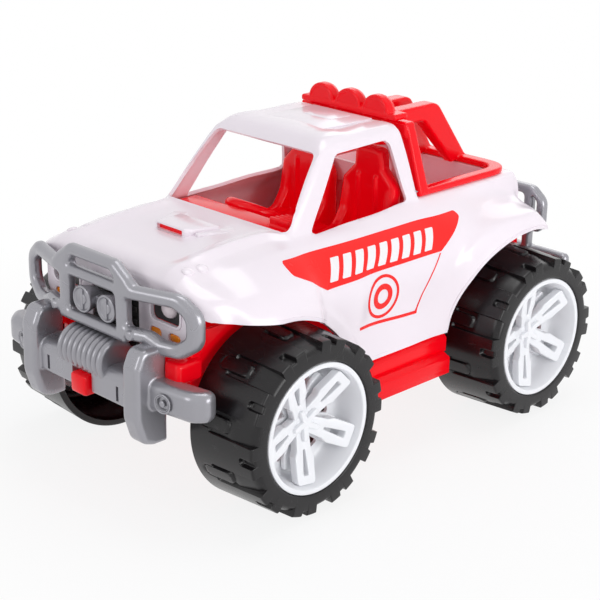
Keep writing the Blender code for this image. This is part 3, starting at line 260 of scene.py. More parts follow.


# %% [markdown]
# The white, red and lamp plastics are ABS, which leaves a polished mould with a deep gloss. The body's white has a
# faint pink tint that is painted bounce light from the red parts; the wheels are a cooler white than the body,
# without that tint. The silver is ABS too, but with aluminium flake in it, which makes it satin and a little
# metallic. The tyres are blown polyethylene: a soft, waxy black with a low sheen.
# Thin red walls let some light through, which shows in the cab. The red has a faint painted glow in its own colour
# that stands in for that light: it lifts every red face, the shaded cab most, and no lamp makes it.

# %% The toy's plastics
# The body white's pink tint is painted bounce light from the red parts.
white_abs = moulded("white_gloss_abs", "#F7EEF5", "#F3EAF1", 0.22, 0.9, 0.004, 0.04,
                    **{"Coat Weight": 0.25, "Coat Roughness": 0.06})
wheel_white_abs = moulded("wheel_white_abs", "#F4F5F8", "#F0F1F4", 0.24, 0.9, 0.004, 0.04)
# The red's emission is a painted glow and not a lamp: it brightens the red faces that lie in shade.
red_abs = moulded("red_gloss_abs", "#F20016", "#EA0012", 0.20, 0.9, 0.004, 0.02,
                  **{"Specular IOR Level": 0.20, "Coat Weight": 0.06, "Coat Roughness": 0.05,
                     "Emission Color": linear("#F20012"), "Emission Strength": 0.12})
silver_abs = moulded("silver_flake_abs", "#A3A2A8", "#99989E", 0.29, 0.45, 0.010, 0.04,
                     **{"Metallic": 0.55, "Coat Weight": 0.20, "Coat Roughness": 0.12})
black_abs = moulded("black_satin_abs", "#1C1A1B", "#151314", 0.42, 0.6, 0.008, 0.10)
tyre_pe = moulded("black_blown_polyethylene", "#171517", "#131113", 0.27, 0.7, 0.012, 0.05,
                  **{"Specular IOR Level": 0.36})
lens_abs = moulded("pale_lens_abs", "#EFE3E6", "#E7DADE", 0.14, 0.9, 0.003, 0.02,
                   **{"Coat Weight": 0.5, "Coat Roughness": 0.05})
orange_abs = moulded("orange_gloss_abs", "#FF9A1E", "#F8881A", 0.18, 0.8, 0.004, 0.02,
                     **{"Coat Weight": 0.4, "Coat Roughness": 0.05})
foil = moulded("red_printed_foil", "#FF2A28", "#FA2624", 0.26, 0.9, 0.003, 0.02,
               **{"Specular IOR Level": 0.20})
white_print = moulded("white_print", "#F6F2F4", "#F1EDEF", 0.28, 0.9, 0.002, 0.02)
drawn_steel = moulded("drawn_steel", "#B9B9BD", "#AFAFB4", 0.28, 0.3, 0.006, 0.10, **{"Metallic": 1.0})
SLOT_FINISH = {"white_plastic": white_abs, "red_plastic": red_abs, "silver_plastic": silver_abs,
               "black_plastic": black_abs, "tyre_black": tyre_pe, "pale_lens": lens_abs,
               "orange_plastic": orange_abs, "steel": drawn_steel}
for row in frame["record"]["subparts"]:
    node = frame["nodes"][row["node"]]
    node.data.materials.clear()
    node.data.materials.append(SLOT_FINISH[row["material_slot"]])
print("materials", [m.name for m in SLOT_FINISH.values()])

# %% [markdown]
# ## Camera, light and floor
#
# The photograph was taken from the front left, a little above the hood, with a long lens. Its camera
# was worked out from the wheels, whose rims are circles of one size. The light is a soft studio: a lamp
# above, one to the left, one in front and one behind, and a white room that the camera and the gloss see.

# %% The photograph's camera
CAMERA_AZIMUTH, CAMERA_ELEVATION, CAMERA_ROLL = (math.radians(a) for a in (44.90, 20.22, 0.896))
CAMERA_SPOT = (0.6609, -0.6723 + MID_Y, 0.4244)
CAMERA_LENS = 91.17
back = Vector((math.sin(CAMERA_AZIMUTH) * math.cos(CAMERA_ELEVATION),
               -math.cos(CAMERA_AZIMUTH) * math.cos(CAMERA_ELEVATION), math.sin(CAMERA_ELEVATION)))
right = Vector((math.cos(CAMERA_AZIMUTH), math.sin(CAMERA_AZIMUTH), 0))
upward = back.cross(right)
rolled_right = math.cos(CAMERA_ROLL) * right + math.sin(CAMERA_ROLL) * upward
rolled_up = math.cos(CAMERA_ROLL) * upward - math.sin(CAMERA_ROLL) * right
camera = bpy.data.objects.new("photo_camera", bpy.data.cameras.new("photo_camera"))
bpy.context.collection.objects.link(camera)
camera.matrix_world = (Matrix.Translation(CAMERA_SPOT)
                       @ Matrix((rolled_right, rolled_up, back)).transposed().to_4x4())
camera.data.sensor_width = 36.0
camera.data.lens = CAMERA_LENS
camera.data.clip_start = 0.05
bpy.context.scene.camera = camera
bpy.context.scene.view_settings.view_transform = "Standard"
print("camera at", [round(v, 3) for v in camera.location])

# %% Soft lamps


def soft_lamp(name, spot, target, size, watts, tint):
    """A large square lamp that looks at a point of the car."""
    lamp = bpy.data.lights.new(name, "AREA")
    lamp.shape = "SQUARE"
    lamp.size = size
    lamp.energy = watts
    lamp.color = linear(tint)[:3]
    made = bpy.data.objects.new(name, lamp)
    bpy.context.collection.objects.link(made)
    made.location = spot
    made.rotation_euler = (Vector(spot) - Vector(target)).to_track_quat("Z", "Y").to_euler()
    return made


soft_lamp("top_box", (0.00, 0.15, 1.25), (0, 0, 0.08), 0.6, 2.8, "#FFFFFF")
soft_lamp("left_box", (1.30, 0.05, 0.32), (0, 0, 0.08), 0.8, 7.5, "#FFFFFF")
soft_lamp("front_box", (-0.15, -1.30, 0.60), (0, 0, 0.08), 0.5, 2.4, "#FFFFFF")
soft_lamp("rear_box", (-0.6, 1.20, 0.80), (0, 0, 0.10), 0.8, 2.0, "#FFFFFF")

# %% White room and pale floor


def rays_seen(tree, *kinds):
    """1 for a ray of one of the kinds, else 0."""
    rays = add_node(tree, "ShaderNodeLightPath")
    seen = rays.outputs[kinds[0]]
    for kind in kinds[1:]:
        larger = add_node(tree, "ShaderNodeMath", {0: seen, 1: rays.outputs[kind]}, operation="MAXIMUM")
        seen = larger.outputs["Value"]
    return seen


room = bpy.data.worlds.new("white_room")
bpy.context.scene.world = room
tree = bare_tree(room)
seen = rays_seen(tree, "Is Camera Ray", "Is Glossy Ray", "Is Transmission Ray")
fill = add_node(tree, "ShaderNodeBackground", {"Color": linear("#F6F7FA"), "Strength": 0.58})
bright = add_node(tree, "ShaderNodeBackground", {"Color": (1, 1, 1, 1), "Strength": 1.0})
mixed = add_node(tree, "ShaderNodeMixShader", {0: seen, 1: fill.outputs["Background"],
                                               2: bright.outputs["Background"]})
add_node(tree, "ShaderNodeOutputWorld", {"Surface": mixed.outputs["Shader"]})

floor = begin("studio_floor", bpy.ops.mesh.primitive_plane_add, size=14.0, location=(0, 0, -0.0003))
change(floor, bpy.ops.mesh.subdivide, number_cuts=3)
paper = bpy.data.materials.new("white_paper")
tree = bare_tree(paper)
seen = rays_seen(tree, "Is Camera Ray", "Is Glossy Ray")
where = add_node(tree, "ShaderNodeTexCoord").outputs["Object"]
away = add_node(tree, "ShaderNodeVectorMath", {0: where}, operation="LENGTH")
share = add_node(tree, "ShaderNodeMapRange", {"Value": away.outputs["Value"], "From Min": 0.18,
                                              "From Max": 0.42, "To Min": 0.86, "To Max": 1.0})
part = add_node(tree, "ShaderNodeMath", {0: seen, 1: share.outputs["Result"]}, operation="MULTIPLY")
matt = add_node(tree, "ShaderNodeBsdfDiffuse", {"Color": linear("#F4F4F5")})
glow = add_node(tree, "ShaderNodeEmission", {"Color": (1, 1, 1, 1), "Strength": 1.0})
mixed = add_node(tree, "ShaderNodeMixShader", {0: part.outputs["Value"], 1: matt.outputs["BSDF"],
                                               2: glow.outputs["Emission"]})
add_node(tree, "ShaderNodeOutputMaterial", {"Surface": mixed.outputs["Shader"]})
floor.data.materials.append(paper)

# %% [markdown]
# ## The white shell
#
# The shell is one moulding: hood, wings, cab, doors, flares, deck and the walls of the bed. Its skin is
# a smooth surface with a few soft corners, so it is drawn as sections across the car, from the sill up
# and in to the centre line, and the skin flows through them. A grid primitive is the sheet that gets
# shaped: each of its vertices is put at its place between the sections. Subdivision modelling could do
# this too, but a dense sheet keeps the measured sections exactly where they are.

# %% Sections of the shell, in millimetres
NOSE, SILL_LOW, HOOD, ROOF_TOP, DECK_TOP = -164.3, 69.8, 151.0, 199.8, 152.5
FRONT_AXLE_Y, REAR_AXLE_Y, CAB_FRONT, CAB_REAR, TAIL = -105.3, 105.3, -76.0, 37.5, 141.8
WING, FLARE, DOOR, SHOULDER = 93.5, 94.5, 83.0, 65.5
SECTIONS = []


def section(y, points):
    """One half outline from the lower edge up and in: (x, z) or (x, z, offset along the car)."""
    SECTIONS.append([(p[0], y + (p[2] if len(p) > 2 else 0.0), p[1]) for p in points])


def cab_section(y, door, edge_z, shoulder_z, middle_z, inset, foot=0.0):
    section(y, [(87, SILL_LOW), (door, 90), (door + 0.5, 118), (78.5, 135), (SHOULDER + 0.8, 146.2),
                (57.5, 150 + foot), (46.6, edge_z), (46.6 - inset, shoulder_z), (23.3, middle_z - 0.4),
                (0, middle_z)])


def bed_section(y, side):
    section(y, side + [(59.7, DECK_TOP - 1.6)] + [(x, DECK_TOP) for x in (57.5, 50, 25, 0)])


section(NOSE, [(78, SILL_LOW, 12), (78, 123, 10), (75, 125, 6), (71, 128.5, 3), (65, 132.2, 1.5),
               (56, 134.5, 0.7), (45, 133.5, 0.5), (34, 131), (18, 130.5), (0, 130.5)])
section(NOSE, [(79.5, SILL_LOW, 15), (79.5, 126, 12), (76, 131.5, 8.5), (70.5, 135, 5), (63.5, 137.8, 2.8),
               (56, 140, 1.2), (45, 141.2, 0.3), (34, 141.2), (18, 141.2), (0, 141.2)])
section(NOSE, [(83, SILL_LOW, 22), (82.5, 125, 19), (78, 133.5, 14.8), (70.5, 137.5, 11), (63, 140.5, 8),
               (56, 143.4, 5.5), (45, 145.4, 4.5), (35, 144.5, 4), (18, 144.5, 4), (0, 144.5, 4)])
section(FRONT_AXLE_Y - 36, [(87.5, SILL_LOW, 8), (88.5, 123, 6), (81.5, 132.5, 4), (72, 138, 3),
                            (63, 141.5, 1), (52.8, 146.0), (45, 149.8), (36, 147.5), (18, 147.2), (0, 147.2)])
section(FRONT_AXLE_Y - 16, [(WING, SILL_LOW), (93.2, 122), (85.5, 132.5), (74, 140), (63, 145.2),
                            (52.0, 148.1), (45, 152.2), (36, 150), (18, 149.5), (0, 149.4)])
section(FRONT_AXLE_Y + 3, [(WING, SILL_LOW), (WING, 121), (86.5, 132), (75, 140.5), (63.2, 146.2),
                           (52.0, 149.0), (45, 153.2), (36.5, 151.2), (18, HOOD - 0.4), (0, HOOD - 0.4)])
section(FRONT_AXLE_Y + 21, [(92.5, SILL_LOW), (92.5, 114), (86.5, 129), (76, 140), (64, 146.8),
                            (53.6, 149.4), (47.5, 153.4), (38, 151.8), (18, HOOD + 0.4), (0, HOOD + 0.4)])
section(CAB_FRONT, [(88.5, SILL_LOW), (87.5, 102), (85, 124), (76.5, 138), (SHOULDER, 145.8),
                    (57.5, 149.2), (53.5, 151.6), (42, 152), (20, HOOD + 1.2), (0, HOOD + 1.2)])
cab_section(-40.5, DOOR + 1.2, 194, 194.6, 194.8, 3.5)
cab_section(-34.5, DOOR, 195.8, 199, 199.6, 5)
cab_section(-2, DOOR, 195.8, 199.2, ROOF_TOP, 5, 2)
cab_section(30, DOOR + 1, 195.8, 199, 199.4, 5, 1.5)
bed_section(CAB_REAR, [(88, SILL_LOW), (86, 98), (85, 120), (77.5, 137), (66.5, 146.8)])
bed_section(REAR_AXLE_Y - 47, [(91.5, SILL_LOW), (91.5, 109), (87, 127), (77, 138), (SHOULDER, 147)])
bed_section(REAR_AXLE_Y - 24, [(FLARE, SILL_LOW), (FLARE, 122.8), (89.5, 132.5), (75.5, 138.5),
                               (63.5, 146.5)])
bed_section(REAR_AXLE_Y + 2, [(FLARE, SILL_LOW), (FLARE, 127.2), (90, 133.5), (73.5, 137.5), (61.2, 144)])
bed_section(REAR_AXLE_Y + 19, [(91.5, SILL_LOW), (91.5, 125.8), (86.2, 132.2), (71, 135.2), (60.0, 140.5)])
section(TAIL, [(88.8, SILL_LOW, -10), (88.8, 124.8, -10), (81.5, 130.2, -10.5), (69.5, 133, -7.5),
               (59.5, 137, -4.5), (59, 148, -4.5), (56.5, 151.5, -4.5), (50, 151.8, -4), (25, 151.8, -4),
               (0, 151.8, -4)])
section(TAIL, [(87, SILL_LOW, -8), (86.8, 123.6, -8), (79, 128.5, -8), (69, 130.8, -5), (59, 133, -1.5),
               (58.8, 144, -1.5), (56, 147.5, -1), (50, 148, -0.5), (25, 148, -0.5), (0, 148, -0.5)])
section(TAIL, [(85, SILL_LOW, -8.5), (84.5, 119, -7.8), (76.5, 118, -6.5), (68, 116.5, -3.5), (60, 115),
               (58, 114), (54, 113), (48, 113), (25, 113), (0, 113)])
WALL = 2.2
print(len(SECTIONS), "sections of", len(SECTIONS[0]), "points")

# %% [markdown]
# A run of points becomes a smooth line when each point gets a direction from its two neighbours, and a
# corner when each side of the point keeps its own direction. The corner share below says how much of
# each: 1 at the foot of the windscreen, less at the roof's edge, 0 along the wings.

# %% A line that flows through its points


def flow(points, corner, counts):
    """A line through the points along the first axis, with a number of steps in each gap."""
    steps = np.diff(points, axis=0)
    reach = np.linalg.norm(steps, axis=-1, keepdims=True) + 1e-6
    slope = steps / reach
    inner = (slope[:-1] * reach[1:] + slope[1:] * reach[:-1]) / (reach[:-1] + reach[1:])
    smooth = np.concatenate([slope[:1], inner, slope[-1:]])
    line = [points[:1]]
    for gap, count in enumerate(counts):
        leave = smooth[gap] * (1 - corner[gap]) + slope[gap] * corner[gap]
        arrive = smooth[gap + 1] * (1 - corner[gap + 1]) + slope[gap] * corner[gap + 1]
        for step in range(1, count + 1):
            t = step / count
            line.append(((2 * t ** 3 - 3 * t ** 2 + 1) * points[gap]
                         + (t ** 3 - 2 * t ** 2 + t) * reach[gap] * leave
                         + (3 * t ** 2 - 2 * t ** 3) * points[gap + 1]
                         + (t ** 3 - t ** 2) * reach[gap] * arrive)[None])
    return np.concatenate(line)


def sheet_places(sections, spacing):
    """The places of a dense sheet that flows along the car and then across it, on both sides."""
    points = np.array(sections, float)
    along = np.zeros(points.shape[:2])
    along[7, 5:] = 1.0          # foot of the windscreen
    along[8, 5:] = 0.75         # head of the windscreen
    along[9, 6:] = 0.35         # front of the roof
    along[11, 6:] = 0.8         # rear of the roof
    along[12, 5:] = 1.0         # foot of the rear window
    along[17:19, 4:] = 0.4      # upper edge of the tail
    across = np.zeros(points.shape[:2])
    across[:, 1] = 0.15         # fold at the wings' and doors' upper edge
    across[7:13, 5] = 0.9       # foot of the side windows
    across[8:12, 6] = 0.75      # head of the side windows
    across[8:12, 7] = 0.55      # edge of the roof
    across[12:18, 5:7] = 0.8    # edge of the deck
    across[2:7, 5:8] = 0.95     # ridges of the hood
    across[1:7, 4] = 0.8        # outer edge of the hood
    gaps = np.linalg.norm(np.diff(points, axis=0), axis=-1).max(axis=1)
    points = flow(points, along[..., None], [max(2, round(g / spacing)) for g in gaps])
    share = [max(2, round(g / spacing)) for g in gaps]
    corners = np.concatenate([across[:1]] + [
        np.linspace(across[i], across[i + 1], n + 1)[1:] for i, n in enumerate(share)])
    widths = np.linalg.norm(np.diff(points, axis=1), axis=-1)
    counts = [max(2, round(float(np.percentile(w, 85)) / spacing)) for w in widths.T]
    half = flow(points.transpose(1, 0, 2), corners.T[..., None], counts)
    other = half[-2::-1] * np.array((-1, 1, 1))
    return np.concatenate([half, other])


places = sheet_places(SECTIONS, 2.2)
print("sheet of", places.shape[0], "by", places.shape[1], "vertices")

# %% Shape a grid into the sheet


def sheet(name, places):
    """A grid primitive whose vertices are put at a table of places."""
    columns, rows = places.shape[:2]
    piece = begin(name, bpy.ops.mesh.primitive_grid_add, x_subdivisions=columns - 1,
                  y_subdivisions=rows - 1, size=2.0)
    flat = np.array([v.co for v in piece.data.vertices])
    order = np.lexsort((flat[:, 0].round(5), flat[:, 1].round(5)))
    for spot, number in enumerate(order):
        piece.data.vertices[number].co = places[spot % columns, spot // columns]
    return piece


shell = sheet("body_shell_look", places)
edit(shell, lambda co, vert: not vert.is_boundary, "VERT")
bpy.ops.mesh.vertices_smooth(factor=0.5, repeat=1)
bpy.ops.mesh.select_all(action="SELECT")
bpy.ops.mesh.normals_make_consistent(inside=False)
done()
roof_up = sum(p.normal.z for p in shell.data.polygons if p.center.z > 190)
if roof_up < 0:
    shell.data.flip_normals()
print("shell sheet", len(shell.data.polygons), "faces")

# %% [markdown]
# The flares stand out from the doors with a small step that runs round each wheel arch. It follows an
# arc and not a section, so the skin inside that arc is moved outwards after the sheet is shaped.

# %% Steps around the wheel arches
ARCH_Y, ARCH_Z, ARCH_R = -118.0, 43.6, 74.4
AXLE_Z, REAR_ARCH_R = 55.5, 69.6
STEP_WIDTH, STEP_FADE = 3.2, 14
STEP_X, STEP_X_FADE = 69, 4
rear_step = (REAR_AXLE_Y, AXLE_Z, REAR_ARCH_R + 17.4, 1.5, 40.0)
front_step = (ARCH_Y, ARCH_Z, ARCH_R + 9.6, 1.1, -106.0)
for vert in shell.data.vertices:
    for centre_y, centre_z, reach, height, start in (rear_step, front_step):
        away = math.hypot(vert.co.y - centre_y, vert.co.z - centre_z)
        rise = min(1, max(0, (reach - away) / STEP_WIDTH))
        along = min(1, max(0, (vert.co.y - start) / STEP_FADE))
        along *= min(1, max(0, (abs(vert.co.x) - STEP_X) / STEP_X_FADE))
        if away < reach:
            vert.co.x += math.copysign(height * rise * rise * (3 - 2 * rise) * along, vert.co.x)

# %% [markdown]
# ### Cutting the openings
#
# A knife would cut windows and wheel arches along an outline, but it needs a window on screen. A
# Boolean would leave slivers along the cut that spoil the gloss. So each outline is cut the way a
# sheet-metal worker trims: the vertices nearest to the line slide on to it, and what lies inside is
# removed. The rim then has even faces, which take a clean rounded edge.

# %% Outlines with rounded corners, and the trimming cut


def rounded(corners, steps=5):
    """A closed outline of (a, b, radius) corners."""
    outline = []
    for index, (a, b, radius) in enumerate(corners):
        here = Vector((a, b))
        before = Vector(corners[index - 1][:2]) - here
        after = Vector(corners[(index + 1) % len(corners)][:2]) - here
        if radius <= 0:
            outline.append(here)
            continue
        half = before.angle(after) / 2
        cut = min(radius / math.tan(half), 0.48 * before.length, 0.48 * after.length)
        first, last = here + before.normalized() * cut, here + after.normalized() * cut
        for step in range(steps + 1):
            t = step / steps
            outline.append(first * (1 - t) ** 2 + here * 2 * t * (1 - t) + last * t ** 2)
    return outline


def mirrored(points, sign):
    return [(sign * p[0], *p[1:]) for p in points]


def even(half, steps=5):
    """An outline with equal halves, from the corners of one half."""
    other = mirrored(reversed(half), -1)
    return rounded(other[-1:] + half + other[:-1], steps)


def arc_line(centre, radius, angles):
    """Points on a circle at a run of angles in degrees."""
    return [Vector((centre[0] + radius * math.cos(math.radians(a)),
                    centre[1] + radius * math.sin(math.radians(a)))) for a in angles]


def inside(outline, a, b):
    """Whether points given as two arrays lie in a closed outline."""
    result = np.zeros(len(a), bool)
    ring = np.array(outline)
    for (x1, y1), (x2, y2) in zip(ring, np.roll(ring, -1, axis=0)):
        crosses = (y1 > b) != (y2 > b)
        with np.errstate(divide="ignore", invalid="ignore"):
            result ^= crosses & (a < (x2 - x1) * (b - y1) / (y2 - y1) + x1)
    return result


def trim(piece, outline, axes, near=lambda co: True, keep_inside=False):
    """Cuts the sheet along an outline drawn in the plane of two axes."""
    net = bmesh.new()
    net.from_mesh(piece.data)
    net.verts.ensure_lookup_table()
    co = np.array([v.co for v in net.verts])
    within = inside(outline, co[:, axes[0]], co[:, axes[1]])
    local = np.array([near(v.co) for v in net.verts])
    pairs = np.array([[e.verts[0].index, e.verts[1].index] for e in net.edges])
    crossed = pairs[(within[pairs[:, 0]] != within[pairs[:, 1]]) & local[pairs[:, 0]] & local[pairs[:, 1]]]
    one, two = co[crossed[:, 0]], co[crossed[:, 1]]
    start = within[crossed[:, 0]]
    low, high = np.zeros(len(crossed)), np.ones(len(crossed))
    for _ in range(14):
        middle = (low + high) / 2
        spot = one + (two - one) * middle[:, None]
        same = inside(outline, spot[:, axes[0]], spot[:, axes[1]]) == start
        low, high = np.where(same, middle, low), np.where(same, high, middle)
    cut = (low + high) / 2
    spot = one + (two - one) * cut[:, None]
    nearest = {}
    for pair, share, place_ in zip(crossed, cut, spot):
        mover = pair[0] if share < 0.5 else pair[1]
        move = float(np.linalg.norm(co[mover] - place_))
        if mover not in nearest or move < nearest[mover][0]:
            nearest[mover] = (move, place_)
    for mover, (_, place_) in nearest.items():
        net.verts[mover].co = place_
    on_line = set(nearest)
    gone = []
    for face in list(net.faces):
        marks = [None if v.index in on_line else bool(within[v.index]) for v in face.verts]
        if not all(local[v.index] for v in face.verts):
            continue
        if True in marks and False in marks:
            ends = [v for v in face.verts if v.index in on_line]
            if len(ends) == 2:
                halves = bmesh.utils.face_split(face, ends[0], ends[1])[0]
                for part_ in (face, halves):
                    if any(v.index not in on_line and within[v.index] != keep_inside for v in part_.verts):
                        gone.append(part_)
            continue
        drop = not keep_inside
        if drop in marks:
            gone.append(face)
        elif True not in marks and False not in marks:
            centre = np.array([face.calc_center_median()])
            if inside(outline, centre[:, axes[0]], centre[:, axes[1]])[0] != keep_inside:
                gone.append(face)
    bmesh.ops.delete(net, geom=gone, context="FACES")
    loose = [v for v in net.verts if not v.link_faces]
    bmesh.ops.delete(net, geom=loose, context="VERTS")
    bmesh.ops.remove_doubles(net, verts=net.verts, dist=0.5)
    net.to_mesh(piece.data)
    net.free()


# %% Windows, wheel arches, bed and scoop
shell_skin = copied(shell, "shell_skin", Matrix.Identity(4))
SIDE, FRONT, TOP = (1, 2), (0, 2), (0, 1)
BELT, FLANK_X = 140, 61
screen = even([(54.6, 152.4, 3), (43.8, 193.0, 5)])
trim(shell, screen, FRONT, lambda co: -77 < co.y < -20 and co.z > BELT)
side_window = rounded([(-59.0, 148.8, 2), (28.5, 152.4, 2), (18.2, 192.3, 6), (-29.5, 191.2, 5)])
trim(shell, side_window, SIDE, lambda co: co.z > BELT)
rear_window = even([(40, 166, 4), (34, 188, 5)])
trim(shell, rear_window, FRONT, lambda co: 20 < co.y < 60)
front_arch = [Vector(p) for p in ((-200, 122.5), (-154.3, 123.5), (-140.3, 120.8))]
front_arch += arc_line((ARCH_Y, ARCH_Z), ARCH_R, np.linspace(90, -3.5, 40))
front_arch += [Vector((front_arch[-1].x, 20)), Vector((-200, 20))]
trim(shell, front_arch, SIDE, lambda co: abs(co.x) > FLANK_X)
rear_arch = arc_line((REAR_AXLE_Y, AXLE_Z), REAR_ARCH_R, np.linspace(190, 69, 44))
rear_arch += [Vector((150, 119.6)), Vector((150, 20)), Vector((rear_arch[0].x, 20))]
trim(shell, rear_arch, SIDE, lambda co: abs(co.x) > FLANK_X)
BED_HALF, BED_FRONT, BED_REAR = 49, 49, 124
trim(shell, even([(BED_HALF, BED_FRONT, 3), (BED_HALF, BED_REAR, 3)]), TOP, lambda co: co.z > BELT)
trim(shell, even([(11.4, -120.2, 0.8), (11.4, -115.6, 0.8)], 2), TOP, lambda co: co.z > BELT)
print("after the cuts", len(shell.data.polygons), "faces")

# %% [markdown]
# The lower edge of the real shell turns inwards all round, over the wheels and along the sills, which
# makes it look thick and keeps it stiff. So the edge is extruded inwards and the fold is rounded before
# the skin gets its wall.

# %% Turned-in lower edge, bed walls and wall thickness
LIP_X, LIP_TOP, LIP_WIDE = 61.3, 128, 4.2
BED_EDGE, BED_WALL = 1.2, 38.6
for sign in (1, -1):
    change(shell, bpy.ops.mesh.extrude_edges_move,
           lambda co, edge: edge.is_boundary and sign * co.x > LIP_X and co.z < LIP_TOP, "EDGE",
           TRANSFORM_OT_translate={"value": (-LIP_WIDE * sign, 0, 0)})
change(shell, bpy.ops.mesh.bevel,
       lambda co, edge: (not edge.is_boundary and abs(co.x) > LIP_X and co.z < LIP_TOP
                         and edge.calc_face_angle(0) > 0.9),
       "EDGE", offset=1.3, segments=3, affect="EDGES", clamp_overlap=True)
edit(shell, lambda co, edge: (edge.is_boundary and abs(co.x) < BED_HALF + 0.5 and co.z > BELT
                              and BED_FRONT - 0.5 < co.y < BED_REAR + 0.5), "EDGE")
bpy.ops.mesh.extrude_edges_move(TRANSFORM_OT_translate={"value": (0, 0, -BED_EDGE)})
bpy.ops.mesh.extrude_edges_move(TRANSFORM_OT_translate={"value": (0, 0, -BED_WALL)})
done()
add_modifier(shell, "SOLIDIFY", thickness=WALL, offset=-1.0, use_even_offset=False)
add_modifier(shell, "BEVEL", width=0.6, segments=2, limit_method="ANGLE", angle_limit=math.radians(55),
             use_clamp_overlap=True)
apply_modifiers(shell)
print("shell", len(shell.data.polygons), "faces")

# %% [markdown]
# ### Scoop, domes and roof panel
#
# The hood has a low scoop with a slot in its front, and a pair of small domes beside each ridge. The
# roof has a raised panel. They are moulded with the shell, so they join its mesh.

# %% Small raised forms of the shell


def on_shell(x, y):
    """The shell's height and normal under a point."""
    _, spot, normal, _ = shell_skin.ray_cast(Vector((x, y, 260)), Vector((0, 0, -1)))
    return spot, normal


def block(name, low, high, edge, segments=3):
    """A box between two corners with rounded edges."""
    middle = [(a + b) / 2 for a, b in zip(low, high)]
    piece = begin(name, bpy.ops.mesh.primitive_cube_add, size=1.0, location=middle,
                  scale=[b - a for a, b in zip(low, high)])
    change(piece, bpy.ops.mesh.bevel, offset=edge, segments=segments, affect="EDGES")
    return piece


def block_pair(name, x, half, low, high, edge, segments=3):
    """Two boxes about +x and -x, between two (y, z) corners."""
    return [block(name, (sign * x - half, *low), (sign * x + half, *high), edge, segments)
            for sign in (1, -1)]


extras = []
for x, y in ((53.0, -151.0), (53.6, -141.0), (-53.0, -151.0), (-53.6, -141.0)):
    spot, normal = on_shell(x, y)
    dome = begin("hood_dome", bpy.ops.mesh.primitive_uv_sphere_add, segments=32, ring_count=16, radius=3.6)
    change(dome, bpy.ops.transform.resize, value=(1, 1, 0.36))
    dome.data.transform(Matrix.Translation(spot) @ normal.to_track_quat("Z", "Y").to_matrix().to_4x4())
    extras.append(dome)
SCOOP_FRONT, SCOOP_REAR, SCOOP_SPREAD, SCOOP_DROP = -119.5, -95.0, 0.42, 1.6
scoop = block("scoop", (-13.0, SCOOP_FRONT, 147.5), (13.0, SCOOP_REAR, 154.4), 1.2)
for vert in scoop.data.vertices:
    run = (vert.co.y - SCOOP_FRONT) / (SCOOP_REAR - SCOOP_FRONT)
    vert.co.x *= 1 + SCOOP_SPREAD * run
    if vert.co.z > 150:
        vert.co.z -= SCOOP_DROP * run
carve(scoop, block("scoop_slot", (-11.3, SCOOP_FRONT - 3, 149.9), (11.3, SCOOP_FRONT + 5, 153.3), 0.4))
extras.append(scoop)
FLANK_HALF = 13.5
for sign in (1, -1):
    flank = block("scoop_flank", (-5.0, -FLANK_HALF, -2.6), (5.0, FLANK_HALF, 1.1), 0.9)
    for vert in flank.data.vertices:
        run = (vert.co.y + FLANK_HALF) / (2 * FLANK_HALF)
        vert.co.x *= 0.35 + 0.75 * run
        if vert.co.z > 0:
            vert.co.z *= 1 - 0.5 * run
    flank.data.transform(Matrix.Translation((sign * 20.5, -100.5, 150.6))
                         @ Matrix.Rotation(sign * -0.28, 4, "Z"))
    extras.append(flank)
extras.append(block("roof_panel", (-26.0, -22.0, 197.5), (26.0, 27.0, 200.5), 0.4))
extras.append(block("roof_step", (-12.0, 4.0, 199.5), (12.0, 22.0, 200.75), 0.4))
shell = joined([shell] + extras, "body_shell_look")
place(shell, "white_plastic", 40)
throat = block("scoop_throat", (-11.6, SCOOP_FRONT + 2.2, 149.6), (11.6, SCOOP_FRONT + 4.2, 153.5), 0.2)
place(throat, material=red_abs)

# %% [markdown]
# ## Tyres
#
# Each tyre is blown in one piece, hollow and open towards the car, with its tread moulded in. The tread
# repeats ten times: a wide scoop with a tongue in it, a block, a short slot and a block. A grid
# primitive with rows of vertices crowded where the tread has edges is rolled up as if it were turned and
# then embossed: each vertex gets its radius from a profile less the depth of the pattern there.

# %% The tread's pattern
TREAD_UNITS = 10
TYRE_FACE, TYRE_DEPTH = 113.2, 49.0
EDGE_RADIUS, CROWN_RADIUS = 53.3, 55.5
UNIT_ARC = 2 * math.pi * (EDGE_RADIUS + CROWN_RADIUS) / 2 / TREAD_UNITS
SCOOP_END = 13.5
TONGUE = (2.6, 10.9, 19, 41, 3.0)
SLOT = (21.6, 26.4)


def soft_box(s, v, low_s, high_s, low_v, high_v, radius, soft):
    """One inside a rounded rectangle, zero outside, with a soft wall between."""
    ds = np.abs(s - (low_s + high_s) / 2) - (high_s - low_s) / 2 + radius
    dv = np.abs(v - (low_v + high_v) / 2) - (high_v - low_v) / 2 + radius
    away = np.hypot(np.maximum(ds, 0), np.maximum(dv, 0)) + np.minimum(np.maximum(ds, dv), 0) - radius
    share = np.clip(0.5 - away / soft, 0, 1)
    return share * share * (3 - 2 * share)


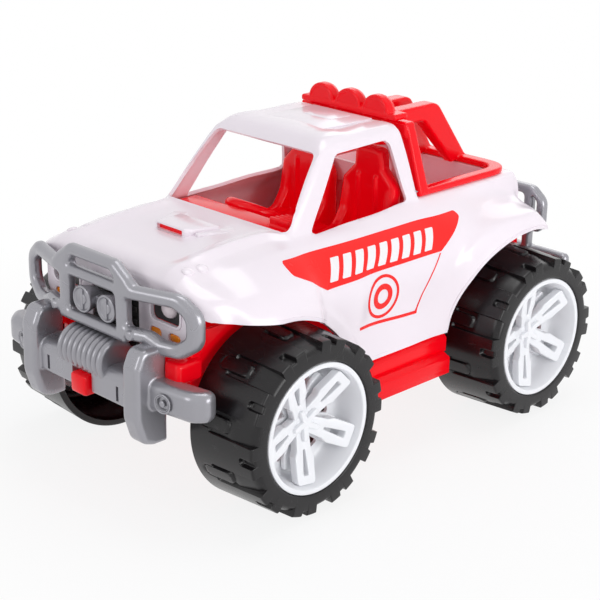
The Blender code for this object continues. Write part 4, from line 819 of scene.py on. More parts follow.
def tread_depth(s, v):
    """How far the pattern lies under the tread, with s along the arc and v in from the outer face."""
    scoop = soft_box(s, v, 0.0, SCOOP_END, -20, 34, 1.2, 0.7)
    tongue = soft_box(s, v, *TONGUE, 0.7)
    floor = np.interp(v, [0, 17, 24, 34], [3.6, 1.4, 1.9, 1.7])
    slot = soft_box(s, v, *SLOT, -20, 9.5, 1.6, 0.7)
    outline = soft_box(s, v, 2.2, 11.3, 18.6, 41.4, 3.2, 0.5) - soft_box(s, v, *TONGUE, 0.5)
    roll = np.clip((5.0 - v) / 5.0, 0, 1)
    scoop_roll = 3.4 * (1 - np.sqrt(1 - roll ** 2)) * scoop
    edge = np.clip((1.3 - v) / 1.3, 0, 1)
    edge_roll = 1.2 * (1 - np.sqrt(1 - edge ** 2)) * (1 - scoop)
    return scoop * (1 - tongue) * floor + 2.9 * slot + 0.6 * outline * (1 - scoop) + scoop_roll + edge_roll


def crowded(edges, span, step, fine, reach):
    """Places along a span, close together around its edges and wide apart between them."""
    spots = [0.0]
    while spots[-1] < span:
        here = spots[-1]
        close = min(abs(here - edge) for edge in edges)
        spots.append(here + (fine if close < reach else min(step, fine + (close - reach) * 0.6)))
    return np.array(spots[:-1]) * span / spots[-1]


unit = crowded([0, *TONGUE[:2], SCOOP_END, *SLOT, UNIT_ARC], UNIT_ARC, 1.3, 0.30, 0.6)
angles = np.concatenate([(unit / UNIT_ARC + k) * 2 * math.pi / TREAD_UNITS for k in range(TREAD_UNITS)])
arcs = np.tile(unit, TREAD_UNITS)
depths = [0.0, 0.12, 0.3, 0.6, 1.0, 1.5, 2.2, 3.2, 4.4, 5.6, 7.0, 8.2, 8.9, 9.2, 9.5, 9.8, 10.4, 12.0,
          14.5, 17.0, 18.4, 18.8, 19.1, 19.6, 20.5, 22.0, 25.0, 29.0, 32.0, 33.4, 33.9, 34.3, 34.8, 36.5,
          39.0, 40.4, 40.9, 41.3, 42.0, 44.5, 47.6, 48.4]
sidewall = [(40.4, 12.0), (40.4, 0.9), (40.7, 0.35), (41.2, 0.05), (42.0, 0.0), (44.0, 0.0)]
hollow = [(54.9, 48.85), (54.2, 49.0), (51.6, 49.0), (51.3, 48.6), (50.6, 20.0), (50.0, 4.6), (49.0, 3.9),
          (45.0, 3.9), (44.2, 4.6), (44.0, 11.4), (43.5, 12.0)]
ring = len(depths) + len(sidewall) + len(hollow)
print("tyre of", len(angles), "by", ring, "vertices")

# %% One tyre, then its phase and its copies


def wheel_turn(body, side, phase):
    """The matrix that carries a wheel modelled about the X axis to its axle."""
    turn = Matrix.Rotation(math.radians(phase), 4, "X")
    if side < 0:
        turn = Matrix.Rotation(math.pi, 4, "Z") @ turn
    y = (axle_y[0] if body == "front_wheels" else axle_y[1]) - MID_Y
    return Matrix.Translation((0, y / MM, CROWN_RADIUS)) @ turn


PHASES = {"front": -27.0, "rear": -35.0}
TREAD_PHASE = 8


def four_wheels(piece, kind, phase, slot, smooth, material):
    """A copy of a tyre or rim on each wheel, turned to that axle's phase."""
    for end in ("front", "rear"):
        for side, sign in (("left", 1), ("right", -1)):
            body = end + "_wheels"
            twin = copied(piece, kind + end + "_" + side + "_look",
                          wheel_turn(body, sign, PHASES[end] + phase))
            place(twin, slot, smooth, body, material)
    bpy.data.objects.remove(piece)


skin = []
for angle, arc in zip(angles, arcs):
    v = np.array(depths)
    tops = EDGE_RADIUS + (CROWN_RADIUS - EDGE_RADIUS) * v / TYRE_DEPTH - tread_depth(np.full(len(v), arc), v)
    loop = sidewall + list(zip(tops, v)) + hollow
    loop[5] = (min(44.0, tops[0] - 1.0), 0.0)
    skin.append([(TYRE_FACE - v_here, radius * math.cos(angle), radius * math.sin(angle))
                 for radius, v_here in loop + loop[:1]])
tyre = sheet("tyre", np.array(skin + skin[:1]))
change(tyre, bpy.ops.mesh.remove_doubles, threshold=0.001)
change(tyre, bpy.ops.mesh.normals_make_consistent, inside=False)
four_wheels(tyre, "tyre_", TREAD_PHASE, "tyre_black", 42, tyre_pe)

# %% [markdown]
# ## Rims
#
# A rim is a deep white dish with five double spokes that rise from the hub to the lip. The dish is a
# turned shape, so it starts as a circle that is extruded and scaled ring by ring, the way a lathe
# profile is drawn by hand. The spokes are flat plates with a slot, a shelf under each, and both are
# sheared so that they climb outwards.

# %% Turned shapes and flat plates


def turned(name, profile, steps, axis="X", centre=(0, 0, 0), cap_start=True):
    """A ring pulled along an axis and scaled through a profile of (radius, place) points."""
    turns = {"X": (0, math.pi / 2, 0), "Y": (-math.pi / 2, 0, 0), "Z": (0, 0, 0)}
    way = {"X": Vector((1, 0, 0)), "Y": Vector((0, 1, 0)), "Z": Vector((0, 0, 1))}[axis]
    middle = Vector(centre)
    piece = begin(name, bpy.ops.mesh.primitive_circle_add, vertices=steps, radius=profile[0][0],
                  location=middle + way * profile[0][1], rotation=turns[axis])
    edit(piece)
    if cap_start:
        bpy.ops.mesh.edge_face_add()
        bpy.ops.mesh.select_all(action="DESELECT")
        done()
        edit(piece, lambda co, edge: edge.is_boundary, "EDGE")
    for (radius, along), (next_radius, next_along) in zip(profile, profile[1:]):
        bpy.ops.mesh.extrude_edges_move(TRANSFORM_OT_translate={"value": way * (next_along - along)})
        grow = next_radius / radius
        bpy.ops.transform.resize(value=[grow if way[i] == 0 else 1 for i in range(3)],
                                 center_override=middle)
    bpy.ops.mesh.edge_face_add()
    bpy.ops.mesh.select_all(action="SELECT")
    bpy.ops.mesh.normals_make_consistent(inside=False)
    done()
    return piece


VIEWS = {"front": Matrix(((1, 0, 0, 0), (0, 0, -1, 0), (0, 1, 0, 0), (0, 0, 0, 1))),
         "side": Matrix(((0, 0, 1, 0), (1, 0, 0, 0), (0, 1, 0, 0), (0, 0, 0, 1))),
         "top": Matrix.Identity(4)}


def plate(name, loops, thickness, edge, view, middle, segments=3):
    """A flat outline with holes and a thickness, with its edges rounded, as a mesh."""
    curve = bpy.data.curves.new(name, "CURVE")
    curve.dimensions = "2D"
    curve.fill_mode = "BOTH"
    curve.extrude = thickness / 2 - edge
    curve.bevel_depth = edge
    curve.bevel_resolution = segments
    curve.offset = -edge
    for loop in loops:
        spline = curve.splines.new("POLY")
        spline.points.add(len(loop) - 1)
        for point, spot in zip(spline.points, loop):
            point.co = (spot[0], spot[1], 0, 1)
        spline.use_cyclic_u = True
    piece = bpy.data.objects.new(name, curve)
    bpy.context.collection.objects.link(piece)
    activate(piece)
    bpy.ops.object.convert(target="MESH")
    piece = bpy.context.object
    shift = {"front": (0, middle, 0), "side": (middle, 0, 0), "top": (0, 0, middle)}[view]
    piece.data.transform(Matrix.Translation(shift) @ VIEWS[view])
    edit(piece)
    bpy.ops.mesh.remove_doubles(threshold=0.01)
    bpy.ops.mesh.normals_make_consistent(inside=False)
    done()
    return piece


# %% Dish, spokes and hub
SPOKES = 5


def spoke_line(half, steps=5):
    """An outline about the spoke's middle, from the corners of one side."""
    return rounded(half + [(a, -b, radius) for a, b, radius in reversed(half)], steps)


dish = turned("rim_dish", [(2.6, 67.2), (6.6, 67.2), (7.4, 90.4), (33.4, 91.4), (35.0, 93.0), (37.2, 101.3),
                           (40.0, 101.3), (40.0, 112.2), (39.8, 112.8), (39.2, 113.15), (37.6, 113.15),
                           (36.9, 112.8), (36.5, 112.0), (34.6, 99.0), (33.9, 95.6), (32.8, 94.0),
                           (31.0, 93.3), (12.0, 93.2), (8.4, 93.6), (7.6, 95.0), (7.4, 100.0), (6.8, 100.9),
                           (5.6, 101.2), (1.0, 101.2)], 96)
hole_outline = spoke_line([(11.6, -3.2, 0.8), (26.0, -8.2, 2.0)], 4)
for index in range(SPOKES):
    hole = plate("rim_hole", [hole_outline], 30.0, 0.4, "side", 93.0)
    hole.data.transform(Matrix.Rotation(2 * math.pi * (index + 0.5) / SPOKES, 4, "X"))
    carve(dish, hole)
arm_outer = spoke_line([(3.0, -5.0, 0), (16.0, -5.9, 2.0), (19.5, -7.6, 2.0), (35.0, -7.3, 2.4)])
arm_slot = spoke_line([(15.5, -0.7, 0.4), (30.0, -2.1, 0.9)])
ledge_outer = spoke_line([(5.0, -5.6, 0), (22.0, -8.6, 2.5), (29.0, -8.0, 1.5)])
star_outer = spoke_line([(0.4, -2.2, 0), (10.5, -1.5, 1.2)])
wheel_parts = [dish]
for index in range(SPOKES):
    turn = Matrix.Rotation(2 * math.pi * index / SPOKES, 4, "X")
    arm = plate("rim_arm", [arm_outer, arm_slot], 5.6, 0.7, "side", 98.0)
    shelf = plate("rim_shelf", [ledge_outer], 3.6, 0.9, "side", 92.6)
    star = plate("rim_star", [star_outer], 3.0, 0.7, "side", 101.8)
    for blade, climb, start in ((arm, 0.31, 6.0), (shelf, 0.16, 6.0), (star, 0.14, 2.0)):
        for vert in blade.data.vertices:
            vert.co.x += climb * (vert.co.y - start)
        blade.data.transform(turn)
        wheel_parts.append(blade)
wheel_parts.append(turned("rim_cap", [(3.6, 99.0), (3.6, 102.4), (3.0, 102.9), (1.6, 103.0)], 40))
four_wheels(joined(wheel_parts, "rim"), "rim_", 0, "white_plastic", 35, wheel_white_abs)

# %% [markdown]
# ## The guard and the front bumper
#
# Both are thick silver mouldings with soft edges, and the bars melt into each other with fillets. Each
# is put together from rounded plates and turned parts, and then a voxel remesh makes one skin of them.
# Smoothing that skin a little gives the fillets that a mould has and that crossed bars would not.

# %% One moulded skin from several parts


def melted(pieces, name, voxel, rounds, factor=0.5):
    """Joins overlapping parts, gives them one skin and smooths it."""
    piece = joined(pieces, name)
    add_modifier(piece, "REMESH", mode="VOXEL", voxel_size=voxel, adaptivity=0.0)
    add_modifier(piece, "SMOOTH", factor=factor, iterations=rounds)
    apply_modifiers(piece)
    return piece


# %% The guard's plate, bent back at its sides
GUARD_FRONT, GUARD_DEPTH = -180.0, 8.5
BAR, LOOP_BAR = 8.0, 9.0
FRAME_HALF, FRAME_LOW, WAIST, LOOP_HALF, LOOP_LOW = 30.0, 103.4, 138.0, 79.0, 101.4
edge_line = [(FRAME_HALF, FRAME_LOW, 3), (FRAME_HALF + 1.5, 106.4, 2), (44.0, 106.4, 3), (52.0, LOOP_LOW, 4),
             (66.5, LOOP_LOW, 10), (LOOP_HALF, 110.5, 12), (LOOP_HALF, 130.0, 13),
             (66.0, WAIST + 1.6, 12), (36.8, WAIST + 1.4, 3), (32.5, 143.2, 4), (21.5, 150.8, 7)]
around = rounded(edge_line + mirrored(reversed(edge_line), -1), 8)
inner = FRAME_HALF - BAR
middle_hole = even([(inner, 110.4, 3), (inner - 0.6, 131.2, 3)], 6)
hoop_hole = even([(22.2, 138.2, 2.2), (17.6, 143.8, 2.4)], 6)
holes = [middle_hole, hoop_hole]
loop_line = [(FRAME_HALF + 0.6, 114.2, 2.5), (45.5, 114.2, 3), (54.0, LOOP_LOW + LOOP_BAR, 3),
             (63.0, LOOP_LOW + LOOP_BAR, 7), (LOOP_HALF - LOOP_BAR, 115.4, 6),
             (LOOP_HALF - LOOP_BAR, 126.4, 7), (62.0, 131.2, 7), (FRAME_HALF + 0.6, 130.8, 2.5)]
for sign in (1, -1):
    holes.append(rounded(mirrored(loop_line, sign), 7))
guard_parts = [plate("guard_plate", [around] + holes, GUARD_DEPTH, 3.7, "front",
                     GUARD_FRONT + GUARD_DEPTH / 2, 6)]
for sign in (1, -1):
    guard_parts.append(turned("guard_pin", [(3.0, 4.0), (3.0, -0.6), (2.5, -1.3), (1.0, -1.5)], 40, "Y",
                              (sign * 35.5, GUARD_FRONT + 0.4, 110.1)))
guard = melted(guard_parts, "bull_bar_look", 0.55, 5)
SWEEP_X, SWEEP_SLOPE, SWEEP_SOFT = 34.5, 0.29, 3
for vert in guard.data.vertices:
    beyond = abs(vert.co.x) - SWEEP_X
    if beyond > -SWEEP_SOFT:
        eased = (beyond + SWEEP_SOFT) ** 2 / (4 * SWEEP_SOFT)
        vert.co.y += SWEEP_SLOPE * (beyond if beyond > SWEEP_SOFT else eased)
place(guard, "silver_plastic", 60)

# %% Bumper: beam, drum, posts and wings
BEAM_FRONT, BEAM_LOW, BEAM_HIGH = -187.0, 69.0, 88.5
POST_X, POST_WIDE = 47.8, 13.8
beam_line = rounded([(BEAM_FRONT, BEAM_LOW, 2), (BEAM_FRONT, BEAM_HIGH, 8), (BEAM_FRONT + 20.5, BEAM_HIGH, 4),
                     (BEAM_FRONT + 20.5, BEAM_LOW, 2)], 6)
beam = plate("beam", [beam_line], 84.0, 0.8, "side", 0.0)
DRUM_RADIUS, DRUM_HALF, RIBS = 13.2, 20.5, 9
pitch = 2 * DRUM_HALF / RIBS
drum_line = [(6.0, -DRUM_HALF), (10.6, -DRUM_HALF)]
for rib in range(RIBS):
    for share in (0.06, 0.2, 0.35, 0.5, 0.65, 0.8, 0.94):
        swell = math.sin(math.pi * min(1, max(0, (share - 0.06) / 0.88))) ** 0.55
        drum_line.append((DRUM_RADIUS - 2.0 + 2.0 * swell, -DRUM_HALF + (rib + share) * pitch))
drum_line += [(10.6, DRUM_HALF), (6.0, DRUM_HALF)]
drum = turned("drum", drum_line, 72, "X", (0, BEAM_FRONT + 10.0, 89.6))
bumper_parts = [beam]
post_line = rounded([(-168.0, 107.5, 3), (-185.5, 107.5, 7), (-190.4, 97.0, 9), (-190.8, 66.0, 14),
                     (-186.0, 51.0, 9), (-178.0, 48.5, 6), (-168.0, 48.5, 2)], 14)
for sign in (1, -1):
    bumper_parts.append(plate("post", [post_line], POST_WIDE, 3.0, "side", sign * POST_X, 6))
    wing_line = [(sign * x, y, r) for x, y, r in (
        (44.0, BEAM_FRONT + 3.4, 0), (44.0, BEAM_FRONT + 18.0, 0), (88.5, BEAM_FRONT + 26.0, 5),
        (92.8, BEAM_FRONT + 17.5, 7), (84.5, BEAM_FRONT + 8.8, 12))]
    bumper_parts.append(plate("wing", [rounded(wing_line, 10)], 18.4, 5.2, "top", 79.9, 8))
bumper_parts += block_pair("post_root", POST_X, 4.5, (-174, 98), (-166, 110), 1.5)
bumper = melted(bumper_parts, "front_bumper_look", 0.6, 5)
cutters = [block("tongue_notch", (-9.2, -200, 60), (9.2, -150, 81.4), 1.2)]
cutters += block_pair("beam_slot", 32.5, 1.1, (-192, 71.5), (-183.2, 80.5), 0.25)
for cutter in cutters:
    carve(bumper, cutter)
rings = []
for sign in (1, -1):
    lean = Matrix.Rotation(sign * 0.17, 4, "Z")
    spot = Matrix.Translation((sign * 66.0, -182.0, 79.2))
    for radius, thick in ((5.4, 0.55), (4.4, 0.35)):
        hoop = begin("wing_ring", bpy.ops.mesh.primitive_torus_add, major_segments=64, minor_segments=12,
                     major_radius=radius, minor_radius=thick, rotation=(math.pi / 2, 0, 0))
        change(hoop, bpy.ops.transform.resize, value=(1, 0.8, 1))
        hoop.data.transform(spot @ lean)
        rings.append(hoop)
    button = turned("wing_button", [(2.0, 0.3), (1.9, -0.4), (1.4, -0.7)], 32, "Y", cap_start=False)
    button.data.transform(spot @ lean)
    rings.append(button)
place(joined([bumper, drum] + rings, "front_bumper_look"), "silver_plastic", 50)

# %% [markdown]
# The two round lamps inside the guard are part of one silver moulding: a bracket with two discs, each
# with a raised rim and a shallow relief.

# %% Fog lamps
fog_parts = [block("fog_bracket", (-12, -173, 116.4), (12, -161.8, 121.4), 1.0)]
for sign in (1, -1):
    centre = (sign * 11.2, -168.0, 118.9)
    fog_parts.append(turned("fog_disc", [(4.0, 2.5), (5.6, 1.6), (8.0, -6.6), (8.3, -8.2), (8.2, -9.0),
                                         (7.7, -9.4), (7.0, -9.3), (6.6, -8.6), (6.2, -8.3), (3.4, -8.3),
                                         (3.2, -8.8), (2.9, -9.0), (1.2, -9.0)], 56, "Y", centre))
    fog_parts.append(block("fog_bridge", (centre[0] - 0.9, -177.3, centre[2] - 6.4),
                           (centre[0] + 0.9, -175.8, centre[2] + 6.4), 0.4))
place(joined(fog_parts, "fog_lamps_look"), "silver_plastic", 35)

# %% [markdown]
# ## Roll cage and light bar
#
# The cage is one red moulding: a ring on the deck, two leaning posts behind the cab, a cross bar and two
# sloping fins. Its faces are flat and its edges round, so it is built from rounded plates and melted
# together like the guard, with finer voxels so that the flats stay flat.

# %% The cage
DECK, ROOF, CAGE_FRONT, CAGE_REAR = 152.8, 199.8, 38.7, 134.5
CAGE_HALF, CAGE_RAIL = 58.5, 8.5
rail_outer = even([(CAGE_HALF, CAGE_FRONT, 2), (CAGE_HALF, CAGE_REAR, 21)], 10)
rail_half = CAGE_HALF - CAGE_RAIL
rail_inner = even([(rail_half, CAGE_FRONT + 9.5, 3), (rail_half, CAGE_REAR - 9.5, 13)], 8)
cage_parts = [plate("cage_ring", [rail_outer, rail_inner], 4.4, 1.5, "top", DECK + 2.2, 4)]
FIN_IN, FIN_OUT = 6.5, 18.0
FIN_BEND, FIN_RUN, FIN_TAPER = 101.5, 33, 7
fin_line = rounded([(38.5, 198.2, 0), (FIN_BEND, 198.2, 11), (134.0, 156.0, 0), (119.0, 153.3, 0),
                    (88.0, 187.5, 8), (38.5, 187.5, 0)], 8)
post_foot = [(49.9, 39.0, 153.8), (59.2, 39.0, 153.8), (59.2, 47.9, 153.8), (49.9, 47.9, 153.8)]
post_head = [(38.8, 37.0, 198.4), (46.7, 37.0, 198.4), (46.7, 44.9, 198.4), (38.8, 44.9, 198.4)]
for sign in (1, -1):
    fin = plate("cage_fin", [fin_line], FIN_OUT - FIN_IN, 1.6, "side", sign * (FIN_OUT + FIN_IN) / 2, 4)
    for vert in fin.data.vertices:
        run = min(1, max(0, (vert.co.y - FIN_BEND) / FIN_RUN))
        edge_in = sign * (FIN_IN + FIN_TAPER * run)
        share = (abs(vert.co.x) - FIN_IN) / (FIN_OUT - FIN_IN)
        vert.co.x = edge_in + share * (sign * FIN_OUT - edge_in)
    cage_parts.append(fin)
    post = begin("cage_post", bpy.ops.mesh.primitive_cube_add, size=1.0)
    for vert in post.data.vertices:
        corner = (2 if vert.co.y > 0 else 0) + (1 if (vert.co.x > 0) != (vert.co.y > 0) else 0)
        x, y, z = (post_head if vert.co.z > 0 else post_foot)[corner]
        vert.co = (sign * x, y, z)
    edit(post)
    bpy.ops.mesh.normals_make_consistent(inside=False)
    bpy.ops.mesh.bevel(offset=1.5, segments=3, affect="EDGES")
    done()
    cage_parts.append(post)
cage_parts.append(block("cage_cross", (-46.9, 35.9, 189.5), (46.9, 45.3, 199.2), 1.6))
place(melted(cage_parts, "roll_cage_look", 0.62, 6), "red_plastic", 50)

# %% The light bar
LAMP_RADIUS, LAMP_PITCH, BAR_FRONT = 11.4, 24.0, 31.0
bar_parts = [block("light_base", (-42.0, BAR_FRONT - 0.2, ROOF + 0.4),
                   (42.0, BAR_FRONT + 12.4, ROOF + 4.6), 1.5)]
for index in (-1, 0, 1):
    bar_parts.append(turned("lamp", [(8.4, 0.55), (8.8, 0.5), (9.2, 0.05), (10.2, 0.0),
                                     (LAMP_RADIUS - 0.2, 0.5), (LAMP_RADIUS, 1.4), (LAMP_RADIUS, 5.6),
                                     (10.4, 8.4), (8.0, 10.8), (4.5, 12.2), (1.0, 12.6)], 72, "Y",
                            (index * LAMP_PITCH, BAR_FRONT, ROOF + 3.3)))
light = melted(bar_parts, "light_bar_look", 0.42, 4)
change(light, bpy.ops.transform.resize, lambda co, vert: co.z < ROOF + 0.4, "VERT",
       value=(1, 1, 0.0), center_override=(0, 0, ROOF + 0.4))
place(light, "red_plastic", 50)

# %% [markdown]
# ## The printed foil on the doors
#
# A thin red foil sits on each side: a slanted band, a thin frame line below it and a round mark in the
# middle. Each shape is a flat plate that is cut into small faces and then pressed on to the shell with a
# shrinkwrap along X, so that it follows the door's curve. The band carries plain white bars, and the
# round mark is a plain ring with a smaller ring in it.

# %% Foil shapes in the door's plane


FOIL_CELL = 2.5


def foil_patch(name, loops, lift, material, thick=0.16):
    """A flat shape in Y and Z, pressed on to the shell."""
    patch = plate(name, loops, 0.02, 0.0, "side", 95.0, 0)
    edit(patch, lambda co, normal: normal.x > 0.5)
    bpy.ops.mesh.select_all(action="INVERT")
    bpy.ops.mesh.delete(type="FACE")
    done()
    extent = {axis: [v.co[axis] for v in patch.data.vertices] for axis in (1, 2)}
    for axis, values in extent.items():
        for spot in np.arange(min(values) + 1.5, max(values), FOIL_CELL):
            change(patch, bpy.ops.mesh.bisect, plane_co=[spot if i == axis else 0 for i in range(3)],
                   plane_no=[1 if i == axis else 0 for i in range(3)])
    add_modifier(patch, "SHRINKWRAP", target=shell_skin, wrap_method="PROJECT", use_project_x=True,
                 use_project_y=False, use_project_z=False, use_negative_direction=True,
                 use_positive_direction=False, offset=lift)
    apply_modifiers(patch)
    add_modifier(patch, "SOLIDIFY", thickness=thick, offset=-1.0)
    apply_modifiers(patch)
    for side in (1, -1):
        twin = copied(patch, name + ("_left" if side > 0 else "_right"),
                      Matrix.Identity(4) if side > 0 else MIRROR_X)
        place(twin, material=material)
    bpy.data.objects.remove(patch)


def circle_line(centre, radius, count=48):
    return arc_line(centre, radius, np.arange(count) * 360 / count)


band = rounded([(-96.0, 143.8, 2.8), (58.0, 143.6, 2.6), (59.5, 140.6, 2.0), (32.4, 124.6, 1.0),
                (-70.8, 123.8, 1.2), (-77.0, 127.4, 5.0), (-84.0, 132.2, 9.0), (-95.2, 137.6, 2.8)], 8)
foil_patch("foil_band", [band], 0.25, foil)
frame_line = [(31.9, 123.6), (23.3, 112.0), (16.3, 100.8), (11.8, 91.4), (10.9, 88.4), (-42.3, 91.0),
              (-42.3, 92.9), (9.6, 90.4), (10.8, 92.0), (15.5, 101.2), (22.5, 112.4), (31.0, 123.6)]
foil_patch("foil_line", [frame_line], 0.25, foil)
MARK = (-20.9, 107.3)
foil_patch("foil_ring", [circle_line(MARK, 14.0, 72), circle_line(MARK, 12.1, 72)], 0.25, foil)
foil_patch("foil_disc", [circle_line(MARK, 8.2, 60), circle_line(MARK, 4.6)], 0.25, foil)
BAR_COUNT, BAR_START, BAR_PITCH, BAR_WIDE, BAR_LEAN, BAR_LOW, BAR_TOP = 9, -67.5, 10.6, 6.8, 7.4, 127.2, 139.0
bars = []
for index in range(BAR_COUNT):
    y = BAR_START + index * BAR_PITCH
    bars.append(rounded([(y, BAR_LOW, 0.6), (y + BAR_WIDE, BAR_LOW, 0.6),
                         (y + BAR_WIDE + BAR_LEAN, BAR_TOP, 0.6), (y + BAR_LEAN, BAR_TOP, 0.6)], 3))
foil_patch("foil_bars", bars, 0.42, white_print, 0.14)
bpy.data.objects.remove(shell_skin)

# %% [markdown]
# ## Nose: lamp panels, headlamps and grille
#
# Behind the guard sits a white panel at each side with a rounded hole for a black lamp cup, and two
# orange indicators that come through slots below it. Between the panels the grille is a dark plate with
# ribs. All of it is small moulded work, so it is cut from rounded plates.

# %% Panels, cups, lenses, indicators and grille
FASCIA = -161.5
LENS_X, LENS_Z = 46.0, 123.5
INDICATOR_X = (LENS_X - 9.5, LENS_X + 7.0)
for side, sign in (("left", 1), ("right", -1)):
    panel_line = rounded([(21.6, 96.0, 1), (60.0, 96.0, 6), (66.0, 112.0, 8), (66.0, 124.4, 3),
                          (58.4, 131.0, 2), (50.0, 132.0, 1), (21.6, 133.0, 1)], 6)
    lamp_line = rounded([(33.2, 116.0, 4), (58.2, 116.0, 5), (58.2, 130.4, 5), (33.2, 130.4, 3)], 6)
    slots = [rounded([(x - 5.0, 105.6, 2.2), (x + 5.0, 105.6, 2.2), (x + 5.0, 111.0, 2.6),
                      (x - 5.0, 111.0, 2.6)], 5) for x in INDICATOR_X]
    panel = plate("lamp_panel", [mirrored(loop, sign) for loop in [panel_line, lamp_line] + slots], 2.4, 0.6,
                  "front", FASCIA + 1.2)
    lip = plate("lamp_lip", [mirrored(rounded([(31.6, 114.4, 5), (59.8, 114.4, 6), (59.8, 131.2, 5),
                                               (31.6, 131.2, 4)], 6), sign), mirrored(lamp_line, sign)],
                1.2, 0.4, "front", FASCIA - 0.2)
    place(joined([panel, lip], "lamp_panel_" + side + "_look"), "white_plastic", 35)
    cup_hole = circle_line((LENS_X + 0.6, LENS_Z + 1.2), 6.4)
    cup = plate("cup_face", [mirrored(lamp_line, sign), mirrored(cup_hole, sign)], 7.0, 0.5, "front",
                FASCIA + 5.4)
    back_line = rounded([(34.5, 117.3, 3), (56.9, 117.3, 4), (56.9, 129.1, 4), (34.5, 129.1, 3)], 4)
    back_wall = plate("cup_back", [mirrored(back_line, sign)], 1.6, 0.4, "front", FASCIA + 8.6)
    place(joined([cup, back_wall], "headlamp_housing_" + side + "_look"), "black_plastic", 35)
    lens_profile = [(6.0, 7.6), (6.1, 3.0), (5.9, 1.8), (5.2, 0.5), (3.9, -0.5), (2.2, -1.1), (0.7, -1.3)]
    lens = turned("headlamp_lens_" + side + "_look", lens_profile, 56, "Y",
                  (sign * (LENS_X + 0.6), FASCIA, LENS_Z + 1.2))
    place(lens, "pale_lens", 40)
    lights = []
    for x in INDICATOR_X:
        line = rounded([(x - 4.6, 106.0, 2.0), (x + 4.6, 106.0, 2.0), (x + 4.6, 110.6, 2.4),
                        (x - 4.6, 110.6, 2.4)], 5)
        lights.append(plate("indicator", [mirrored(line, sign)], 3.6, 0.9, "front", FASCIA + 2.2))
    strip = (LENS_X - 12, LENS_X + 10) if sign > 0 else (-LENS_X - 10, -LENS_X + 12)
    lights.append(block("indicator_strip", (strip[0], FASCIA + 2.8, 107.0),
                        (strip[1], FASCIA + 4.2, 109.6), 0.3))
    place(joined(lights, "indicators_" + side + "_look"), "orange_plastic", 35)
grille_parts = [block("grille_back", (-21.0, FASCIA + 0.8, 92.2), (21.0, FASCIA + 2.4, 132.8), 0.4)]
GRILLE_RIBS, GRILLE_PITCH = 6, 7.0
for row_number in range(GRILLE_RIBS):
    z = 95.6 + row_number * GRILLE_PITCH
    grille_parts.append(block("grille_rib", (-20.4, FASCIA - 0.6, z - 1.5),
                              (20.4, FASCIA + 1.6, z + 1.5), 0.6))
place(joined(grille_parts, "grille_look"), "black_plastic", 35)

# %% [markdown]
# ## The cabin
#
# The cabin is one red tray with a dashboard, a console and a ribbed block for the instruments, and two
# bucket seats that are separate shells. The photograph shows only what the windows let through, so the
# floor is plain. The seats are melted from plates, because a real one is a soft-edged moulding.

# %% Bucket seats
SEAT_X, SEAT_FLOOR, SEAT_BACK, SEAT_HALF = 28.0, 113.9, 31.3, 22.4
HEAD, NECK = 183.4, 169.8
back_line = even([(SEAT_HALF, SEAT_FLOOR, 0), (SEAT_HALF, NECK - 10.0, 9), (13.6, NECK - 0.8, 6),
                  (12.4, NECK + 0.6, 1.5), (11.6, HEAD, 6)], 7)
bolster_line = rounded([(-14.0, SEAT_FLOOR, 0), (SEAT_BACK - 6, SEAT_FLOOR, 0),
                        (SEAT_BACK - 6, NECK - 8.0, 2), (SEAT_BACK - 9, NECK - 9.5, 4),
                        (SEAT_BACK - 13, 140.0, 12), (12.0, 130.0, 8), (-14.0, 123.0, 4)], 8)
seat_parts = [plate("seat_back", [back_line], 9.0, 3.0, "front", SEAT_BACK - 4.9, 5),
              block("seat_cushion", (-SEAT_HALF, -26.0, SEAT_FLOOR), (SEAT_HALF, SEAT_BACK - 6, 126.4), 3.0),
              block("seat_pad", (-12.5, -24.0, 122.0), (12.5, SEAT_BACK - 10, 127.6), 2.4)]
for edge_sign in (1, -1):
    seat_parts.append(plate("seat_bolster", [bolster_line], 8.6, 3.4, "side",
                            edge_sign * (SEAT_HALF - 4.3), 6))
seat_parts += block_pair("seat_ridge", 7.4, 1.2, (SEAT_BACK - 11.4, 130.0), (SEAT_BACK - 6, 165.0), 0.9)
seat = melted(seat_parts, "seat", 0.75, 4)
for vert in seat.data.vertices:
    vert.co.z = max(vert.co.z, SEAT_FLOOR)
for side, sign in (("left", 1), ("right", -1)):
    twin = copied(seat, "seat_" + side + "_look", Matrix.Translation((sign * SEAT_X, 0, 0)))
    place(twin, "red_plastic", 50)
bpy.data.objects.remove(seat)

# %% Steering wheel
COLUMN_FOOT = Vector((-22.5, -30.5, 140.5))
COLUMN_WAY = Vector((0, 0.915, 0.404))
lean = Matrix.Translation(COLUMN_FOOT) @ Vector((0, 0.42, 0.91)).to_track_quat("Z", "Y").to_matrix().to_4x4()
hoop = begin("wheel_hoop", bpy.ops.mesh.primitive_torus_add, major_segments=96, minor_segments=24,
             major_radius=15.0, minor_radius=4.0)
hub = turned("wheel_hub", [(5.6, -3.0), (6.2, -1.2), (6.0, 1.0), (4.6, 1.9), (1.0, 2.1)], 48, "Z")
wheel_parts = [hoop, hub]
for turn in (90, 210, 330):
    spoke = block("wheel_spoke", (2.0, -3.0, -1.6), (14.6, 3.0, 1.4), 1.2)
    spoke.data.transform(Matrix.Rotation(math.radians(turn), 4, "Z"))
    wheel_parts.append(spoke)
for piece in wheel_parts:
    piece.data.transform(lean)
column = turned("wheel_column", [(4.2, -16.2), (4.2, 0.6)], 32, "Z")
column_lean = Matrix.Translation(COLUMN_FOOT) @ COLUMN_WAY.to_track_quat("Z", "Y").to_matrix().to_4x4()
column.data.transform(column_lean)
place(melted(wheel_parts + [column], "steering_wheel_look", 0.45, 4), "red_plastic", 50)

